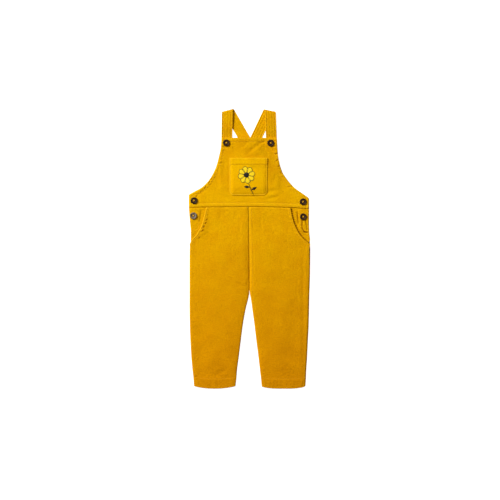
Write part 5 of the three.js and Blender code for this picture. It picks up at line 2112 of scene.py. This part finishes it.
@dataclass
class PocketFlower:
    """A plain embroidered flower with a stem and two leaves on the bib pocket."""

    name: str = "pocket_flower"
    centre_x: float = -6.5
    centre_h: float = 468.0
    petals: int = 8
    petal_from: float = 5.0
    petal_to: float = 18.6
    petal_width: float = 12.0
    first_turn: float = 0.2
    eye_radius: float = 5.4
    leaf_width: float = 5.6
    stem_radius: float = 0.7
    line_radius: float = 0.5
    pile: float = 0.55

    def lens(self, root: tuple[float, float], tip: tuple[float, float], width: float, blunt: float,
             base: Curve) -> Wall:
        """One filled shape, pointed or round, that lies on the pocket.

        Args:
            root: x and h of its root.
            tip: x and h of its tip.
            width: Its greatest width.
            blunt: 1 for a pointed shape, less for a rounder one.
            base: Gives the pocket's height at x and h points.

        Returns:
            The shape, its stitches lying across it.
        """
        t = np.linspace(0, 1, 22)[:, None]
        v = np.linspace(-1, 1, 11)[None, :]
        run = np.array(tip) - np.array(root)
        reach = float(np.hypot(*run))
        run = run / reach
        half_width = width / 2 * np.sin(pi * np.clip(t, 0.004, 0.996) ** 1.15) ** blunt
        x = root[0] + run[0] * t * reach + run[1] * v * half_width
        h = root[1] + run[1] * t * reach - run[0] * v * half_width
        crown = np.sqrt(np.clip(1 - v**2, 0.02, 1)) * np.sqrt(np.sin(pi * np.clip(t, 0.01, 0.99)))
        z = base(np.stack([x, h], axis=-1).reshape(-1, 2)).reshape(x.shape) + 0.2 * self.pile
        return Wall(x, h, z, self.pile * crown, t * reach + 0.25 * v * half_width, v * half_width, 0 * x)

    def outline(self, shape: Wall) -> Array:
        """Draws the line round a filled shape, a little above the cloth.

        Args:
            shape: The filled shape.

        Returns:
            The line's points.
        """
        grids = (shape.x, shape.h, shape.z + 0.15)
        points = line_of(*(np.concatenate([grid[:, 0], grid[::-1, -1], grid[:1, 0]]) for grid in grids))
        apart = np.concatenate([[True], np.linalg.norm(np.diff(points, axis=0), axis=1) > 0.05])
        return points[apart]

    def build(self, pocket: Object, bright: Material,
              dark: Material) -> list[Object]:
        """Embroiders the flower on the pocket.

        Args:
            pocket: The piece that carries it.
            bright: Satin of the petals.
            dark: Satin of the eye, the stem, the leaves and the outlines.

        Returns:
            The embroidery's pieces.
        """

        def base(points: Array) -> Array:
            """The pocket's height under each point."""
            return np.array(heights_on(pocket, points))

        shapes = []
        for turn in np.linspace(self.first_turn, self.first_turn + 2 * pi, self.petals, endpoint=False):
            ray = np.array((cos(turn), sin(turn)))
            centre = np.array((self.centre_x, self.centre_h))
            root, tip = centre + self.petal_from * ray, centre + self.petal_to * ray
            shapes.append(self.lens(tuple(root), tuple(tip), self.petal_width, 0.6, base))
        stem_t = np.linspace(0, 1, 26)
        stem_x = self.centre_x + 2.0 + 13 * stem_t**1.6
        stem_h = self.centre_h - self.petal_to - 38 * stem_t + 14.5
        stem = line_of(stem_x, stem_h)[10:]
        leaves = []
        for k, reach_x, reach_h in ((15, -13, 1.5), (19, 12, 6.5)):
            root, tip = (stem_x[k], stem_h[k]), (stem_x[k] + reach_x, stem_h[k] + reach_h)
            leaves.append(self.lens(root, tip, self.leaf_width, 1.0, base))
        eye = self.lens((self.centre_x - self.eye_radius, self.centre_h),
                        (self.centre_x + self.eye_radius, self.centre_h), 2 * self.eye_radius, 0.5, base)
        eye.z = eye.z + 0.5
        petals = build_walls(self.name + "_petals", shapes)
        dark_walls = build_walls(self.name + "_leaves", [eye, *leaves])
        stem_line = np.column_stack([stem, base(stem) + 0.3])
        lines = [tube(self.outline(shape), self.line_radius, 6) for shape in shapes]
        lines.append(tube(stem_line, self.stem_radius, 8))
        outlines = mesh_object(self.name + "_outline", *joined(lines))
        for piece, finish in ((petals, bright), (dark_walls, dark), (outlines, dark)):
            piece.data.materials.append(finish)
        return [petals, dark_walls, outlines]


# The floor, the light and the camera


@dataclass
class Studio:
    """The floor, the soft light and the camera straight above."""

    view_width: float = 1.0945
    lens: float = 100.0
    sensor: float = 36.0
    aim_x: float = 0.0012
    aim_y: float = -0.0017
    key_place: tuple[float, float, float] = (-2.0, 1.7, 1.9)
    key_size: float = 0.9
    key_power: float = 135.0
    fill_place: tuple[float, float, float] = (0.9, 0.6, 2.4)
    fill_size: float = 1.2
    fill_power: float = 6.0
    sky: float = 0.2
    sky_colour: Colour = (1.0, 0.8, 0.55)
    floor_glow: float = 1.0
    floor_reach: float = 6000.0
    floor_level: float = -0.3

    def lamp(self, name: str, place: tuple[float, float, float], size: float, power: float) -> None:
        """Adds a soft lamp that shines on the garment.

        Args:
            name: Its name.
            place: Where it hangs.
            size: Side of its square face.
            power: Its power in watts.
        """
        data = bpy.data.lights.new(name, "AREA")
        data.size, data.energy = size, power
        lamp = linked(name, data)
        lamp.location = place
        lamp.rotation_euler = (-Vector(place)).to_track_quat("-Z", "Y").to_euler()

    def floor(self) -> Object:
        """Makes the white floor.

        Returns:
            The floor's object.
        """
        made, tree, shader = started("White floor")
        seen = tree.nodes.new("ShaderNodeLightPath").outputs["Is Camera Ray"]
        glow = reckon(tree, "MULTIPLY", seen, self.floor_glow)
        feed(tree, shader, Base_Color=(0.5, 0.5, 0.5, 1.0), Roughness=0.9, Specular_IOR_Level=0.0,
             Emission_Color=(1.0, 1.0, 1.0, 1.0), Emission_Strength=glow)
        corners = [(x * self.floor_reach, h * self.floor_reach, self.floor_level)
                   for x, h in ((-1, -1), (1, -1), (1, 1), (-1, 1))]
        floor = mesh_object("floor", np.array(corners), [[0, 1, 2, 3]])
        floor.data.materials.append(made)
        return floor

    def build(self) -> None:
        """Makes the camera, the lamps, the sky and the floor."""
        scene = bpy.context.scene
        data = bpy.data.cameras.new("camera")
        data.lens, data.sensor_width = self.lens, self.sensor
        data.clip_end = 20.0
        camera = linked("camera", data)
        camera.location = (self.aim_x, self.aim_y, self.view_width * self.lens / self.sensor)
        scene.camera = camera
        self.lamp("key", self.key_place, self.key_size, self.key_power)
        self.lamp("fill", self.fill_place, self.fill_size, self.fill_power)
        world = bpy.data.worlds.new("sky")
        world.use_nodes = True
        world.node_tree.nodes["Background"].inputs["Color"].default_value = (*self.sky_colour, 1.0)
        world.node_tree.nodes["Background"].inputs["Strength"].default_value = self.sky
        scene.world = world
        scene.view_settings.view_transform = "Standard"
        self.floor()


# The whole garment


class Slot(Enum):
    """The record's material slots."""

    CORD = "needlecord"
    HORN = "button_horn"


def fastened(piece: Object, nodes: Sequence[str] = ()) -> None:
    """Lets a piece ride on the garment and stand for the nodes that it replaces.

    Args:
        piece: The piece.
        nodes: The nodes that it stands for.
    """
    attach(piece, "root")
    if nodes:
        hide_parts(*nodes)
    LOG.info("%s: %d faces", piece.name, len(piece.data.polygons))


@dataclass
class Garment:
    """The whole garment, piece by piece from the back to the front."""

    shades: dict[CordShade, Material]
    stitcher: Stitcher

    def lay(self, part: ClothPart, shade: CordShade, node: str, rests_on: Sequence[str]) -> Object:
        """Makes a cloth piece, dresses it and sews its stitch lines.

        Args:
            part: The piece to make.
            shade: Which of the cord's lit or shaded copies it has.
            node: The node that it replaces.
            rests_on: What it lies on; not used.

        Returns:
            The piece's object.
        """
        cloth = part.build()
        seams = part.seams(cloth)
        cloth.data.materials.append(self.shades[shade])
        sewn = []
        if seams:
            sewn.append(self.stitcher.sew(part.name + "_stitches", seams))
            fastened(sewn[0])
        fastened(cloth, (node,))
        return cloth

    def build(self) -> dict[str, Object]:
        """Makes every cloth piece.

        Returns:
            The pieces that carry buttons or embroidery, by name.
        """
        made = {}
        for leg, side in ((LEFT_LEG, "left"), (RIGHT_LEG, "right")):
            back, stand = BackLeg(leg, f"leg_back_{side}"), ButtonStand(leg, f"stand_{side}")
            panel, front = HipPanel(leg, f"hip_{side}"), FrontLeg(leg, f"leg_front_{side}")
            self.lay(back, CordShade.BEHIND, f"back_leg_{side}", ["floor"])
            self.lay(stand, CordShade.BEHIND, f"button_stand_{side}", [back.name])
            made[panel.name] = self.lay(panel, CordShade.LEGS, f"hip_panel_{side}", [back.name, stand.name])
            self.lay(front, CordShade.LEGS, f"front_leg_{side}", [back.name, panel.name])
        yoke, bib, pocket = BackYoke(), Bib(), BibPocket()
        self.lay(yoke, CordShade.BEHIND, "back_yoke", ["floor"])
        for shape, side in ((RIGHT_STRAP, "right"), (LEFT_STRAP, "left")):
            self.lay(Strap(shape, f"shoulder_{side}"), CordShade.UPPER, f"strap_{side}", [yoke.name, "floor"])
        rests = ["shoulder_left", "shoulder_right", yoke.name, "hip_left", "hip_right"]
        made[bib.name] = self.lay(bib, CordShade.UPPER, "bib_front", rests)
        made[pocket.name] = self.lay(pocket, CordShade.POCKET, "bib_pocket", [bib.name])
        return made


BUTTONS = (
    (Button("bib_fastener_left", -50.4, 538.3), "bib_button_left", "bib"),
    (Button("bib_fastener_right", 46.4, 537.9), "bib_button_right", "bib"),
    (Button("side_fastener_left_upper", -121.0, 412.1), "side_button_left_upper", "bib"),
    (Button("side_fastener_left_lower", -122.4, 379.1, tilt=4.0), "side_button_left_lower", "hip_left"),
    (Button("side_fastener_right_upper", 117.3, 409.8), "side_button_right_upper", "bib"),
    (Button("side_fastener_right_lower", 117.7, 376.9), "side_button_right_lower", "hip_right"),
)
DARK_HORN = Horn("Dark horn", pale=(0.06, 0.026, 0.007), dark=(0.016, 0.007, 0.003), roughness=0.55)
GREY_HORN = Horn("Grey horn", pale=(0.3, 0.25, 0.19), dark=(0.05, 0.035, 0.025), roughness=0.3)


def main() -> None:
    """Builds the studio, the garment, its buttons and its embroidery."""
    logging.basicConfig(level=logging.INFO, format="%(name)s %(message)s")
    Studio().build()
    effects = Effects(ribs_group(), mottle_group())
    shades = {shade: finish.material(effects) for shade, finish in CORD_FINISHES.items()}
    thread = SewingThread("Yellow thread", light=(0.9, 0.5, 0.02), deep=(0.6, 0.29, 0.005)).material(effects)
    made = Garment(shades, Stitcher(thread)).build()
    dark, grey = DARK_HORN.material(effects), GREY_HORN.material(effects)
    for button, node, cloth in BUTTONS:
        horn = grey if node == "side_button_left_lower" else dark
        body, sewn = button.build(made[cloth], horn, thread)
        fastened(body, (node,))
        fastened(sewn)
    bright = Satin("Bright yellow satin", light=(1.0, 0.76, 0.01), deep=(0.85, 0.55, 0.005)).material(effects)
    black = Satin("Black satin", light=(0.02, 0.018, 0.016), deep=(0.006, 0.005, 0.005)).material(effects)
    for piece in PocketFlower().build(made["bib_patch_pocket"], bright, black):
        fastened(piece)


if __name__ == "__main__":
    main()
